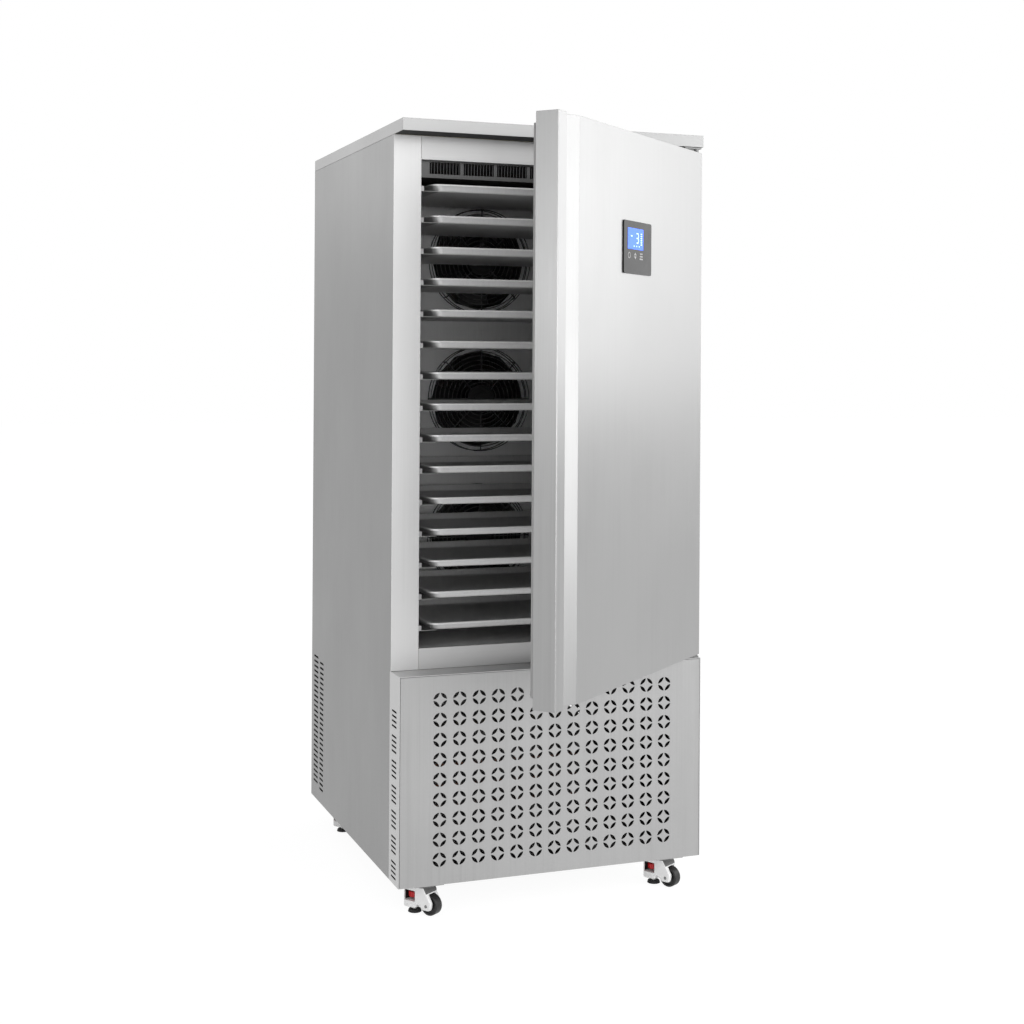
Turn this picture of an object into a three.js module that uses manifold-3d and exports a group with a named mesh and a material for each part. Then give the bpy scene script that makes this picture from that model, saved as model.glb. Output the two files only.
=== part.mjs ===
/**
 * Upright blast chiller on levelling castors, with its door ajar.
 *
 * Millimetres, +Z up, the front looks along -Y. The cabinet is drawn round its own
 * middle and then moved as a whole, so that the origin lies on the floor under the
 * middle of the footprint that the cabinet and its open door take together.
 */
import * as THREE from 'three';
import { mergeGeometries, mergeVertices } from 'three/addons/utils/BufferGeometryUtils.js';
import Module from 'manifold-3d';

const wasm = await Module();
wasm.setup();

// ------------------------------------------------------------------ cabinet sizes
const CABINET_WIDTH = 800;
const CABINET_DEPTH = 896;
const CASTOR_HEIGHT = 80; // floor to the underside of the body
const BODY_HEIGHT = 1838; // underside of the body to the top of the lid
const LID_HEIGHT = 30;
const BAY_HEIGHT = 505; // machine bay behind the grille
const BAY_RETURN_DEPTH = 82; // sides of the bay front, back from the grille
const FRONT_RECESS = 74; // the frame round the chamber stands behind the bay front
const SHEET = 2; // steel sheet, with its folded edges
const SEAM = 0.3; // gap kept between pieces that touch
const LAP = 1; // joined forms and cutting tools reach this far into or past each other
const GRILLE_SEAM = 1; // shadow line round the grille panel

// ------------------------------------------------------------------ chamber sizes
const WALL_THICKNESS = 70; // insulated walls, and the width of the stiles
const SILL_HEIGHT = 52;
const HEADER_HEIGHT = 58;
const FRAME_FOLD = 18; // the frame folds this far into the chamber
const DUCT_HEIGHT = 42; // air duct under the ceiling
const DUCT_SETBACK = 17; // duct front, behind the frame
const DUCT_POST = 9;
const DUCT_PITCH = 88;
const DUCT_RAIL = 10; // below the duct's windows
const DUCT_EDGE = 3; // above them

// ------------------------------------------------------------------- grille sizes
const GRILLE_COLUMNS = 13;
const GRILLE_ROWS = 9;
const GRILLE_PITCH_X = 49.6;
const GRILLE_PITCH_Z = 48;
const GRILLE_TOP_ROW = 60.5; // centre of the top row, below the bay's top
const PETAL_RADIUS = 13.2; // centre of each petal from the middle of its flower
const PETAL_LENGTH = 22;
const PETAL_WIDTH = 8;
const PETALS = 4;

// -------------------------------------------------- slots in the sides of the bay
const SLOT_GROUPS = 7;
const SLOTS_PER_GROUP = 4;
const GROUP_PITCH = 60.5;
const SLOT_PITCH = 12;
const SLOT_LENGTH = 40;
const SLOT_HEIGHT = 5;
const SLOT_SETBACK = 23; // slot's front end, behind the grille
const TOP_SLOT = 90; // centre of the top slot, below the bay's top

// -------------------------------------------------- louvres at the rear of the sides
const LOUVRES = 26;
const LOUVRE_PITCH = 14.3;
const LOUVRE_HEIGHT = 6;
const LOUVRE_TOP = 98; // centre of the top louvre, below the bay's top
const REAR_LOUVRE_INSET = 28; // rear column's back end, from the rear edge
const REAR_LOUVRE_LENGTH = 50;
const LOUVRE_GAP = 20; // between the two columns
const INNER_LOUVRE_LENGTH = 42;
const LOUVRE_STEP = 9; // the inner column starts this much lower

// ---------------------------------------------------------------------- door sizes
const DOOR_THICKNESS = 55;
const DOOR_GAP_BELOW = 7;
const DOOR_GAP_ABOVE = 13.5;
const DOOR_AJAR = 40.5; // degrees
const HINGE_FROM_EDGE = 15;
const HINGE_FROM_FRONT = 10;
const HINGE_PIN_RADIUS = 6;
const HINGE_PIN_LENGTH = 18;
const HINGE_COLLAR_RADIUS = 10;
const PIN_PLAY = 0.5; // between a pin and its bore
const HINGE_PLATE = 4;
const HINGE_WIDTH = 46;
const HINGE_EDGE = 4; // plate's side and front edges, inside the cabinet's
const HINGE_LEG = 26; // upright leg of the top plate, hidden by the lid
const BUSH = 30; // solid corner of the door round each pin
const GRIP_START = 100; // where the face dips, from the free edge
const GRIP_SLOPE = 48;
const GRIP_DEPTH = 24;
const GRIP_LIP = 38; // lip that the fingers pull, from the free edge
const GRIP_WALL = 14; // closed free edge beside the finger space
const LIP_THICKNESS = 3;
const LIP_BEVEL = 1;
const EDGE_BEVEL = 3;
const GASKET_WIDTH = 20;
const GASKET_INSET = 20;
const PLUG_DEPTH = 10; // raised middle of the door's inner face
const PLUG_INSET = 80;
const PLUG_SLOPE = 8;

// --------------------------------------------------------------- control panel sizes
const PANEL_WIDTH = 154;
const PANEL_HEIGHT = 123;
const PANEL_THICKNESS = 3;
const PANEL_CORNER = 5;
const PANEL_ABOVE_DOOR_MIDDLE = 372;

// --------------------------------------------------------------- tray and rack sizes
const TRAYS = 15;
const TRAY_LENGTH = 400;
const TRAY_DEPTH = 17;
const TRAY_RIM = 9;
const TRAY_SLOPE = 5;
const TRAY_SHEET = 1.5;
const TRAY_SETBACK = 8; // tray's front edge, behind the frame
const TRAY_SIDE_ROOM = 30; // from the chamber's wall to a tray's edge
const LOWEST_TRAY = 58; // rim of the lowest tray, above the chamber's floor
const HIGHEST_TRAY = 57; // rim of the highest tray, below the chamber's ceiling
const RUNNER_REACH = 50; // from the chamber's wall to the edge of a runner
const RUNNER_GUIDE = 12; // side guide of a runner, from the chamber's wall
const RUNNER_HEIGHT = 12;
const RUNNER_SHEET = 1.5;
const RACK_SHEET = 3;

// ------------------------------------------------------------------- evaporator sizes
const COIL_SHARE = 0.568; // of the depth that the fans leave behind the trays
const AIR_GAP = 30; // below the fan panel
const FANS = 3;
const FAN_MARGIN = 19; // above and below the equal heights that the fans share
const FAN_OPENING = 270;
const RETURN_SLOT_WIDTH = 18;
const RETURN_SLOT_BRIDGE = 55; // between two slots
const RETURN_SLOT_INSET = 40;
const RETURN_SLOTS = 4;
const RETURN_SLOT_MARGIN = 37; // above the highest slot's share and below the lowest's
const GUARD_DIAMETER = 296;
const GUARD_DEPTH = 32;
const GUARD_WIRE = 5;
const GUARD_SECTORS = 8; // between the bars that cross the guard
const GUARD_SEGMENTS = 12;
const MOTOR_RADIUS = 40;
const MOTOR_LENGTH = 66;
const SHAFT_RADIUS = 5;
const SHAFT_LENGTH = 22;
const ROTOR_RADIUS = 125;
const ROTOR_HUB = 36;
const ROTOR_HUB_LENGTH = 30;
const BLADES = 4;
const BLADE_PITCH = 28; // degrees
const BLADE_CHORD = 58;
const BLADE_SHEET = 2;
const COIL_WIDTH = 540;
const COIL_CLEARANCE = 36; // between the rotors and the fins
const COIL_MARGIN = 60; // below and above the coil
const COIL_FINS = 14;
const COIL_FIN = 6;
const COIL_SPINE = 12;
const COIL_STANDOFF = 18; // tube sheets reach the rear wall over this gap

// ----------------------------------------------------------------- machine bay sizes
const CONDENSER_WIDTH = 420;
const CONDENSER_HEIGHT = 360;
const CONDENSER_DEPTH = 50;
const CONDENSER_SIDE = -110; // middle of the condenser from the cabinet's middle
const CONDENSER_SETBACK = 26; // behind the grille
const CONDENSER_FINS = 11;
const CONDENSER_FIN = 8;
const SHROUD_DEPTH = 40;
const SHROUD_WALL = 3;
const SHROUD_OPENING = 164; // radius
const MOTOR_BRACKET = 14; // half its width, and its depth
const COMPRESSOR_RADIUS = 105;
const COMPRESSOR_HEIGHT = 270;
const COMPRESSOR_DOME = 60;
const COMPRESSOR_CROWN = 9; // shoulder of the dome, below its peak
const COMPRESSOR_CROWN_RADIUS = 63;
const COMPRESSOR_HEEL = 30; // height of the curve under the shell
const COMPRESSOR_HEEL_RADIUS = 84;
const COMPRESSOR_WAIST = 6;
const COMPRESSOR_FOOT = 250;
const COMPRESSOR_FOOT_SHEET = 5;
const COMPRESSOR_X = 190;
const COMPRESSOR_Y = 120;
const MOUNT_HEIGHT = 15; // rubber feet under the compressor's plate
const MOUNT_RADIUS = 14;

// --------------------------------------------------------------------- castor sizes
const CASTOR_SIDE = 80; // swivel axis from the cabinet's side
const CASTOR_FRONT = 44; // from its front
const CASTOR_REAR = 150; // from its rear
const CASTOR_PLATE = 74;
const CASTOR_PLATE_THICKNESS = 4;
const KINGPIN_RADIUS = 6;
const KINGPIN_LENGTH = 12;
const HOUSING_LENGTH = 96;
const HOUSING_WIDTH = 44;
const HOUSING_CLEARANCE = 15; // underside above the floor
const HOUSING_BEVEL = 12;
const FORK_FRONT = 9; // solid front of the housing, before the swivel axis
const FORK_RISE = 21; // front of the fork's legs, above the housing's underside
const FORK_BOSS = 11; // legs round the axle
const FORK_FLARE = 16; // legs behind the axle, where they meet the housing
const FORK_TOP = 26; // that meeting line, below the housing's top
const WHEEL_RADIUS = 25;
const WHEEL_WIDTH = 22;
const WHEEL_CLEARANCE = 1; // the feet hold the wheels this far off the floor
const WHEEL_PLAY = 2;
const WHEEL_OFFSET = 20; // axle from the swivel axis
const AXLE_RADIUS = 4;
const FOOT_OFFSET = 30; // screw foot, on the other side of the swivel axis
const FOOT_RADIUS = 17;
const FOOT_HEIGHT = 7;
const SCREW_RADIUS = 5;
const DIAL_RADIUS = 15;
const DIAL_HEIGHT = 12;
const DIAL_RISE = 38; // underside of the dial above the floor
const FOOT_TRAVEL = 6; // each way
const SCREW_TOP = 58;

/** Castors as they stand: name, side, end and heading in degrees. */
const CASTORS = [
  { name: 'front_left', side: -1, end: 'front', heading: -55 },
  { name: 'front_right', side: 1, end: 'front', heading: -60 },
  { name: 'rear_left', side: -1, end: 'rear', heading: -55 },
  { name: 'rear_right', side: 1, end: 'rear', heading: -58 },
];

// --------------------------------------------------------------- planes of the cabinet
const halfWidth = CABINET_WIDTH / 2;
const frontY = -CABINET_DEPTH / 2;
const rearY = CABINET_DEPTH / 2;
const bodyBottom = CASTOR_HEIGHT;
const bodyTop = bodyBottom + BODY_HEIGHT;
const lidUnderside = bodyTop - LID_HEIGHT;
const bayTop = bodyBottom + BAY_HEIGHT;
const faceY = frontY + FRONT_RECESS;
const bayReturnY = frontY + BAY_RETURN_DEPTH;
const chamber = {
  half: halfWidth - WALL_THICKNESS,
  floor: bayTop + SILL_HEIGHT,
  ceiling: lidUnderside - HEADER_HEIGHT,
  rear: rearY - WALL_THICKNESS,
};
const linerFront = faceY + SHEET + FRAME_FOLD + SEAM;
const ductBottom = chamber.ceiling - DUCT_HEIGHT;
const trayWidth = 2 * (chamber.half - TRAY_SIDE_ROOM);
const trayFront = faceY + TRAY_SETBACK;
const trayRear = trayFront + TRAY_LENGTH;

// ------------------------------------------------------- planes behind the trays
const fanDepth = MOTOR_LENGTH + SEAM + ROTOR_HUB_LENGTH;
const coilRear = chamber.rear - COIL_STANDOFF;
const freeDepth = coilRear - COIL_CLEARANCE - fanDepth - trayRear;
const coilFront = coilRear - COIL_SHARE * freeDepth;
const guardY = coilFront - COIL_CLEARANCE - fanDepth;
const rotorY = guardY + MOTOR_LENGTH + SEAM;
const coverY = guardY + GUARD_DEPTH + SEAM;

// -------------------------------------------------------------------------- finishes
const finish = (colour, roughness, metalness) =>
  new THREE.MeshStandardMaterial({ color: colour, roughness, metalness });

const FINISHES = {
  sidePanel: finish(0xa9a9ab, 0.42, 0.85),
  frame: finish(0xd2d2d3, 0.38, 0.85),
  lid: finish(0xd4d4d6, 0.4, 0.85),
  door: finish(0xc9c9cb, 0.36, 0.85),
  grille: finish(0xbcbcbe, 0.4, 0.85),
  liner: finish(0x8e8f91, 0.35, 0.9),
  tray: finish(0xa2a2a4, 0.45, 0.85),
  runner: finish(0x9c9c9e, 0.4, 0.9),
  foam: finish(0xd9cfa4, 0.9, 0),
  gasket: finish(0x3a3a3c, 0.8, 0),
  glass: finish(0x0b0b0d, 0.08, 0),
  fan: finish(0x161617, 0.55, 0.1),
  fins: finish(0x9fa2a4, 0.45, 0.8),
  machine: finish(0x1c1c1e, 0.5, 0.3),
  hinge: finish(0x8a8a8c, 0.35, 0.9),
  castor: finish(0xd8d8d6, 0.5, 0),
  wheel: finish(0x202022, 0.7, 0),
  foot: finish(0x252527, 0.75, 0),
};

/** A named sub-part with its finish. */
function piece(name, geometry, material) {
  const mesh = new THREE.Mesh(geometry, material);
  mesh.name = name;
  return mesh;
}

/** Pieces that stand or move together. */
function assembly(...members) {
  const group = new THREE.Group();
  group.add(...members);
  return group;
}

// ------------------------------------------------------------------ joining and cutting
function toSolid(geometry) {
  const bare = geometry.clone();
  bare.deleteAttribute('normal');
  bare.deleteAttribute('uv');
  const merged = mergeVertices(bare, 1e-4);
  return new wasm.Manifold(
    new wasm.Mesh({
      numProp: 3,
      vertProperties: new Float32Array(merged.attributes.position.array),
      triVerts: new Uint32Array(merged.index.array),
    }),
  );
}

function toGeometry(solid) {
  const mesh = solid.getMesh();
  const geometry = new THREE.BufferGeometry();
  geometry.setAttribute('position', new THREE.BufferAttribute(mesh.vertProperties, 3));
  geometry.setIndex(new THREE.BufferAttribute(mesh.triVerts, 1));
  geometry.computeVertexNormals();
  return geometry;
}

const sumOf = (geometries) =>
  geometries.map(toSolid).reduce((whole, solid) => whole.add(solid));

/** One solid out of overlapping ones. */
const join = (...geometries) => toGeometry(sumOf(geometries));

/** The body without the tools. */
const cut = (body, ...tools) => toGeometry(toSolid(body).subtract(sumOf(tools)));

/** The body without a pattern of tools that stay clear of each other. */
const pierce = (body, tools) => cut(body, mergeGeometries(tools));

// ------------------------------------------------------------------------ basic forms
/** A box between two planes along each axis. */
function box([left, right], [front, back], [bottom, top]) {
  const geometry = new THREE.BoxGeometry(right - left, back - front, top - bottom);
  return geometry.translate((left + right) / 2, (front + back) / 2, (bottom + top) / 2);
}

const shapeOf = (points) => new THREE.Shape(points.map(([u, v]) => new THREE.Vector2(u, v)));

/** Points round a circle or an arc of it, drawn counterclockwise. */
function arc(radius, segments, from = 0, to = 2 * Math.PI) {
  const closed = to - from > 2 * Math.PI - 1e-9;
  const count = closed ? segments : segments + 1;
  return Array.from({ length: count }, (_, i) => {
    const angle = from + ((to - from) * i) / segments;
    return [radius * Math.cos(angle), radius * Math.sin(angle)];
  });
}

/** Plan outline, raised from one height to another. */
function raised(shape, [bottom, top]) {
  const options = { depth: top - bottom, bevelEnabled: false, curveSegments: 6 };
  return new THREE.ExtrudeGeometry(shape, options).translate(0, 0, bottom);
}

/** Outline drawn across the width and height, thick along the depth. */
function frontal(shape, [front, back]) {
  const options = { depth: back - front, bevelEnabled: false, curveSegments: 6 };
  const geometry = new THREE.ExtrudeGeometry(shape, options);
  return geometry.rotateX(Math.PI / 2).translate(0, back, 0);
}

/** Outline drawn across the depth and height, thick along the width. */
function lateral(shape, [left, right]) {
  const options = { depth: right - left, bevelEnabled: false, curveSegments: 6 };
  const geometry = new THREE.ExtrudeGeometry(shape, options);
  return geometry.rotateX(Math.PI / 2).rotateZ(Math.PI / 2).translate(left, 0, 0);
}

const degrees = THREE.MathUtils.degToRad;

/** Upright cylinder whose flats all stay outside the given radius. */
const bore = (radius, segments, [bottom, top]) =>
  raised(shapeOf(arc(radius / Math.cos(Math.PI / segments), segments)), [bottom, top]);

const pin = (radius, segments, range) => raised(shapeOf(arc(radius, segments)), range);

const ordered = (a, b) => [Math.min(a, b), Math.max(a, b)];

/** Places in a row, centred on zero. */
const spaced = (count, pitch) =>
  Array.from({ length: count }, (_, i) => (i - (count - 1) / 2) * pitch);

// --------------------------------------------------------------------------- cabinet
/** Outer side sheet with two columns of air slots beside the machine bay. */
function sidePanel(side) {
  const bottom = bodyBottom;
  const top = lidUnderside - SEAM;
  const outline = shapeOf([
    [bayReturnY + SEAM, bottom],
    [rearY, bottom],
    [rearY, top],
    [faceY + SHEET + SEAM, top],
    [faceY + SHEET + SEAM, bayTop + SEAM],
    [bayReturnY + SEAM, bayTop + SEAM],
  ]);
  const rearColumn = rearY - REAR_LOUVRE_INSET - REAR_LOUVRE_LENGTH / 2;
  const innerColumn =
    rearColumn - (REAR_LOUVRE_LENGTH + INNER_LOUVRE_LENGTH) / 2 - LOUVRE_GAP;
  const [left, right] = ordered(side * (halfWidth - SHEET), side * halfWidth);
  const louvre = (y, length, z) =>
    box(
      [left - LAP, right + LAP],
      [y - length / 2, y + length / 2],
      [z - LOUVRE_HEIGHT / 2, z + LOUVRE_HEIGHT / 2],
    );
  const louvres = Array.from({ length: LOUVRES }, (_, i) => {
    const z = bayTop - LOUVRE_TOP - i * LOUVRE_PITCH;
    return [
      louvre(rearColumn, REAR_LOUVRE_LENGTH, z),
      louvre(innerColumn, INNER_LOUVRE_LENGTH, z - LOUVRE_STEP),
    ];
  }).flat();
  return pierce(lateral(outline, [left, right]), louvres);
}

function rearPanel() {
  const half = halfWidth - SHEET - SEAM;
  return box([-half, half], [rearY - SHEET, rearY], [bodyBottom, lidUnderside - SEAM]);
}

/** Folded lid, open below, over the whole footprint of the cabinet. */
function topLid() {
  const inside = halfWidth - SHEET;
  return cut(
    box([-halfWidth, halfWidth], [frontY, rearY], [lidUnderside, bodyTop]),
    box(
      [-inside, inside],
      [frontY + SHEET, rearY - SHEET],
      [lidUnderside - LAP, bodyTop - SHEET],
    ),
  );
}

/** Foam between the outer sheets and the chamber's liner, open at the front. */
function insulationCore() {
  const outer = halfWidth - SHEET - SEAM;
  const inner = chamber.half + SHEET + SEAM;
  const front = faceY + SHEET + SEAM;
  const floor = chamber.floor - SHEET - SEAM;
  const ceiling = chamber.ceiling + SHEET + SEAM;
  return cut(
    box(
      [-outer, outer],
      [front, rearY - SHEET - SEAM],
      [bayTop + SEAM, bodyTop - SHEET - SEAM],
    ),
    box([-inner, inner], [front - LAP, chamber.rear + SHEET + SEAM], [floor, ceiling]),
  );
}

function innerLiner() {
  const { half, floor, ceiling, rear } = chamber;
  return cut(
    box(
      [-half - SHEET, half + SHEET],
      [linerFront, rear + SHEET],
      [floor - SHEET, ceiling + SHEET],
    ),
    box([-half, half], [linerFront - LAP, rear], [floor, ceiling]),
  );
}

/** Upright of the frame round the chamber, folded in along the opening. */
function stile(side) {
  const inner = side * chamber.half;
  return join(
    box(
      ordered(inner, side * halfWidth),
      [faceY, faceY + SHEET],
      [bayTop + SEAM, lidUnderside - SEAM],
    ),
    box(
      ordered(inner, inner + side * SHEET),
      [faceY, faceY + SHEET + FRAME_FOLD],
      [chamber.floor - SHEET, chamber.ceiling + SHEET],
    ),
  );
}

/** Rail between the stiles, folded in along its edge towards the opening. */
function rail(openingEdge, farEdge) {
  const inward = Math.sign(farEdge - openingEdge) * SHEET;
  const fold = faceY + SHEET + FRAME_FOLD;
  const profile = shapeOf([
    [faceY, farEdge],
    [faceY, openingEdge],
    [fold, openingEdge],
    [fold, openingEdge + inward],
    [faceY + SHEET, openingEdge + inward],
    [faceY + SHEET, farEdge],
  ]);
  const half = chamber.half - SEAM;
  return lateral(profile, [-half, half]);
}

// ----------------------------------------------------------------------- bay front
/** Sides and ledge round the grille, with groups of air slots in both sides. */
function baySurround() {
  const inside = halfWidth - SHEET;
  const profile = shapeOf([
    [-halfWidth, bodyBottom],
    [-inside, bodyBottom],
    [-inside, bayTop - SHEET],
    [inside, bayTop - SHEET],
    [inside, bodyBottom],
    [halfWidth, bodyBottom],
    [halfWidth, bayTop],
    [-halfWidth, bayTop],
  ]);
  const slotFront = frontY + SLOT_SETBACK;
  const slots = [];
  for (let group = 0; group < SLOT_GROUPS; group += 1) {
    for (let i = 0; i < SLOTS_PER_GROUP; i += 1) {
      const middle = bayTop - TOP_SLOT - group * GROUP_PITCH - i * SLOT_PITCH;
      slots.push(
        box(
          [-halfWidth - LAP, halfWidth + LAP],
          [slotFront, slotFront + SLOT_LENGTH],
          [middle - SLOT_HEIGHT / 2, middle + SLOT_HEIGHT / 2],
        ),
      );
    }
  }
  return pierce(frontal(profile, [frontY, bayReturnY]), slots);
}

/** Tool for one lens-shaped hole of a flower, lying across its ray. */
function petal(angle) {
  const lens = shapeOf([
    [PETAL_RADIUS, -PETAL_LENGTH / 2],
    [PETAL_RADIUS + PETAL_WIDTH / 2, 0],
    [PETAL_RADIUS, PETAL_LENGTH / 2],
    [PETAL_RADIUS - PETAL_WIDTH / 2, 0],
  ]);
  return frontal(lens, [-LAP, SHEET + LAP]).rotateY(angle);
}

/** Front panel of the bay, pierced by a field of four-petalled flowers. */
function grillePanel() {
  const half = halfWidth - SHEET - GRILLE_SEAM;
  const bottom = bodyBottom + SEAM;
  const top = bayTop - SHEET - GRILLE_SEAM;
  const outline = shapeOf([
    [-half, bottom],
    [half, bottom],
    [half, top],
    [-half, top],
  ]);
  const flower = mergeGeometries(
    Array.from({ length: PETALS }, (_, i) => petal(((i + 0.5) / PETALS) * 2 * Math.PI)),
  );
  const field = [];
  for (const x of spaced(GRILLE_COLUMNS, GRILLE_PITCH_X)) {
    for (let row = 0; row < GRILLE_ROWS; row += 1) {
      const z = bayTop - GRILLE_TOP_ROW - row * GRILLE_PITCH_Z;
      field.push(flower.clone().translate(x, frontY, z));
    }
  }
  return pierce(frontal(outline, [frontY, frontY + SHEET]), field);
}

// ---------------------------------------------------------------------- machine bay
const swivels = CASTORS.map((castor) => ({
  ...castor,
  x: castor.side * (halfWidth - CASTOR_SIDE),
  y: castor.end === 'front' ? frontY + CASTOR_FRONT : rearY - CASTOR_REAR,
}));

/** Floor of the machine bay, with a plate and a kingpin for each castor. */
function baseFrame() {
  const half = halfWidth - SHEET - SEAM;
  const floor = box(
    [-half, half],
    [frontY + SHEET + SEAM, rearY - SHEET - SEAM],
    [bodyBottom, bodyBottom + SHEET],
  );
  const under = bodyBottom - CASTOR_PLATE_THICKNESS;
  const reach = CASTOR_PLATE / 2;
  const mounts = swivels.flatMap(({ x, y }) => [
    box([x - reach, x + reach], [y - reach, y + reach], [under, bodyBottom + LAP]),
    pin(KINGPIN_RADIUS, 8, [under - KINGPIN_LENGTH, bodyBottom + LAP]).translate(x, y, 0),
  ]);
  return join(floor, ...mounts);
}

/** Fins of a heat exchanger: a comb in plan, closed along its rear. */
function finPack({ width, depth, spine, fins, fin }, range) {
  const pitch = (width - fin) / (fins - 1);
  const outline = [
    [width / 2, depth],
    [-width / 2, depth],
  ];
  for (let i = 0; i < fins; i += 1) {
    const left = -width / 2 + i * pitch;
    if (i > 0) outline.push([left, depth - spine]);
    outline.push([left, 0], [left + fin, 0]);
    if (i < fins - 1) outline.push([left + fin, depth - spine]);
  }
  return raised(shapeOf(outline), range);
}

const condenserFront = frontY + SHEET + CONDENSER_SETBACK;
const bayFloor = bodyBottom + SHEET;
const condenserFan = {
  x: CONDENSER_SIDE,
  y: condenserFront + CONDENSER_DEPTH + SHROUD_DEPTH,
  z: bayFloor + CONDENSER_HEIGHT / 2,
};

/** Motor with its shaft, drawn on the Z axis from its mounting end upwards. */
function motor() {
  return join(
    pin(MOTOR_RADIUS, 10, [0, MOTOR_LENGTH]),
    pin(SHAFT_RADIUS, 6, [MOTOR_LENGTH - LAP, MOTOR_LENGTH + SHAFT_LENGTH]),
  );
}

/** Bladed rotor, drawn on the Z axis with its hub from zero upwards. */
function rotor() {
  const blade = new THREE.BoxGeometry(
    ROTOR_RADIUS - ROTOR_HUB + BLADE_SHEET * 2,
    BLADE_CHORD,
    BLADE_SHEET,
  );
  blade.rotateX(degrees(BLADE_PITCH));
  blade.translate((ROTOR_RADIUS + ROTOR_HUB) / 2 - BLADE_SHEET, 0, ROTOR_HUB_LENGTH / 2);
  const blades = Array.from({ length: BLADES }, (_, i) =>
    blade.clone().rotateZ((i * 2 * Math.PI) / BLADES),
  );
  return cut(
    join(pin(ROTOR_HUB, 10, [0, ROTOR_HUB_LENGTH]), ...blades),
    bore(SHAFT_RADIUS + PIN_PLAY, 6, [-LAP, ROTOR_HUB_LENGTH + LAP]),
  );
}

/** Turns a form drawn up the Z axis so that it points to the rear. */
const toRear = (geometry) => geometry.rotateX(-Math.PI / 2);

/** Condenser with its fan shroud, motor bracket and motor. */
function condenser() {
  const fins = finPack(
    {
      width: CONDENSER_WIDTH,
      depth: CONDENSER_DEPTH,
      spine: COIL_SPINE,
      fins: CONDENSER_FINS,
      fin: CONDENSER_FIN,
    },
    [bayFloor + SEAM, bayFloor + CONDENSER_HEIGHT],
  ).translate(CONDENSER_SIDE, condenserFront, 0);
  const half = CONDENSER_WIDTH / 2;
  const shroudFront = condenserFront + CONDENSER_DEPTH;
  const shroud = cut(
    box(
      [condenserFan.x - half, condenserFan.x + half],
      [shroudFront - LAP, condenserFan.y],
      [bayFloor + SEAM, bayFloor + CONDENSER_HEIGHT],
    ),
    toRear(pin(SHROUD_OPENING, 16, [SHROUD_WALL, SHROUD_DEPTH + LAP])).translate(
      condenserFan.x,
      shroudFront,
      condenserFan.z,
    ),
  );
  const bracket = box(
    [condenserFan.x - MOTOR_BRACKET, condenserFan.x + MOTOR_BRACKET],
    [shroudFront - LAP, shroudFront + MOTOR_BRACKET],
    [bayFloor + SEAM, bayFloor + CONDENSER_HEIGHT],
  );
  const drive = toRear(motor()).translate(condenserFan.x, shroudFront - LAP, condenserFan.z);
  return join(fins, shroud, bracket, drive);
}

/** Hermetic compressor: a welded shell on a foot plate with four rubber mounts. */
function compressor() {
  const bottom = bayFloor + SEAM;
  const plate = bottom + MOUNT_HEIGHT;
  const top = plate + COMPRESSOR_HEIGHT;
  const middle = (plate + top) / 2;
  const profile = [
    [0, plate],
    [COMPRESSOR_HEEL_RADIUS, plate],
    [COMPRESSOR_RADIUS, plate + COMPRESSOR_HEEL],
    [COMPRESSOR_RADIUS, middle - COMPRESSOR_WAIST],
    [COMPRESSOR_RADIUS + COMPRESSOR_WAIST, middle],
    [COMPRESSOR_RADIUS, middle + COMPRESSOR_WAIST],
    [COMPRESSOR_RADIUS, top - COMPRESSOR_DOME],
    [COMPRESSOR_CROWN_RADIUS, top - COMPRESSOR_CROWN],
    [0, top],
  ].map(([r, z]) => new THREE.Vector2(r, z));
  const shell = new THREE.LatheGeometry(profile, 10).rotateX(Math.PI / 2);
  const reach = COMPRESSOR_FOOT / 2;
  const foot = box(
    [-reach, reach],
    [-reach, reach],
    [plate - COMPRESSOR_FOOT_SHEET, plate + LAP],
  );
  const corner = reach - MOUNT_RADIUS;
  const mounts = [-1, 1].flatMap((u) =>
    [-1, 1].map((v) =>
      pin(MOUNT_RADIUS, 8, [bottom, plate]).translate(u * corner, v * corner, 0),
    ),
  );
  return join(shell, foot, ...mounts).translate(COMPRESSOR_X, COMPRESSOR_Y, 0);
}

// ------------------------------------------------------------------------ evaporator
const fanPitch = (chamber.ceiling - chamber.floor - 2 * FAN_MARGIN) / FANS;
const fanHeights = spaced(FANS, fanPitch)
  .map((rise) => (chamber.floor + chamber.ceiling) / 2 + rise)
  .reverse();

/** Fan panel in front of the evaporator, with air return slots down both sides. */
function evaporatorCover() {
  const half = chamber.half - SEAM;
  const bottom = chamber.floor + AIR_GAP;
  const top = ductBottom - SEAM;
  const outline = shapeOf([
    [-half, bottom],
    [half, bottom],
    [half, top],
    [-half, top],
  ]);
  const through = [coverY - LAP, coverY + SHEET + LAP];
  const slotReach = RETURN_SLOT_WIDTH / 2;
  const slotPitch = (top - bottom - 2 * RETURN_SLOT_MARGIN) / RETURN_SLOTS;
  const halfLength = (slotPitch - RETURN_SLOT_BRIDGE) / 2;
  const slots = spaced(RETURN_SLOTS, slotPitch).flatMap((rise) => {
    const middle = (bottom + top) / 2 + rise;
    const range = [middle - halfLength, middle + halfLength];
    return [RETURN_SLOT_INSET - half, half - RETURN_SLOT_INSET].map((x) =>
      box([x - slotReach, x + slotReach], through, range),
    );
  });
  const openings = fanHeights.map((z) =>
    frontal(shapeOf(arc(FAN_OPENING / 2, GUARD_SEGMENTS)), through).translate(0, 0, z),
  );
  const panel = frontal(outline, [coverY, coverY + SHEET]);
  return pierce(pierce(panel, slots), openings);
}

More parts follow.
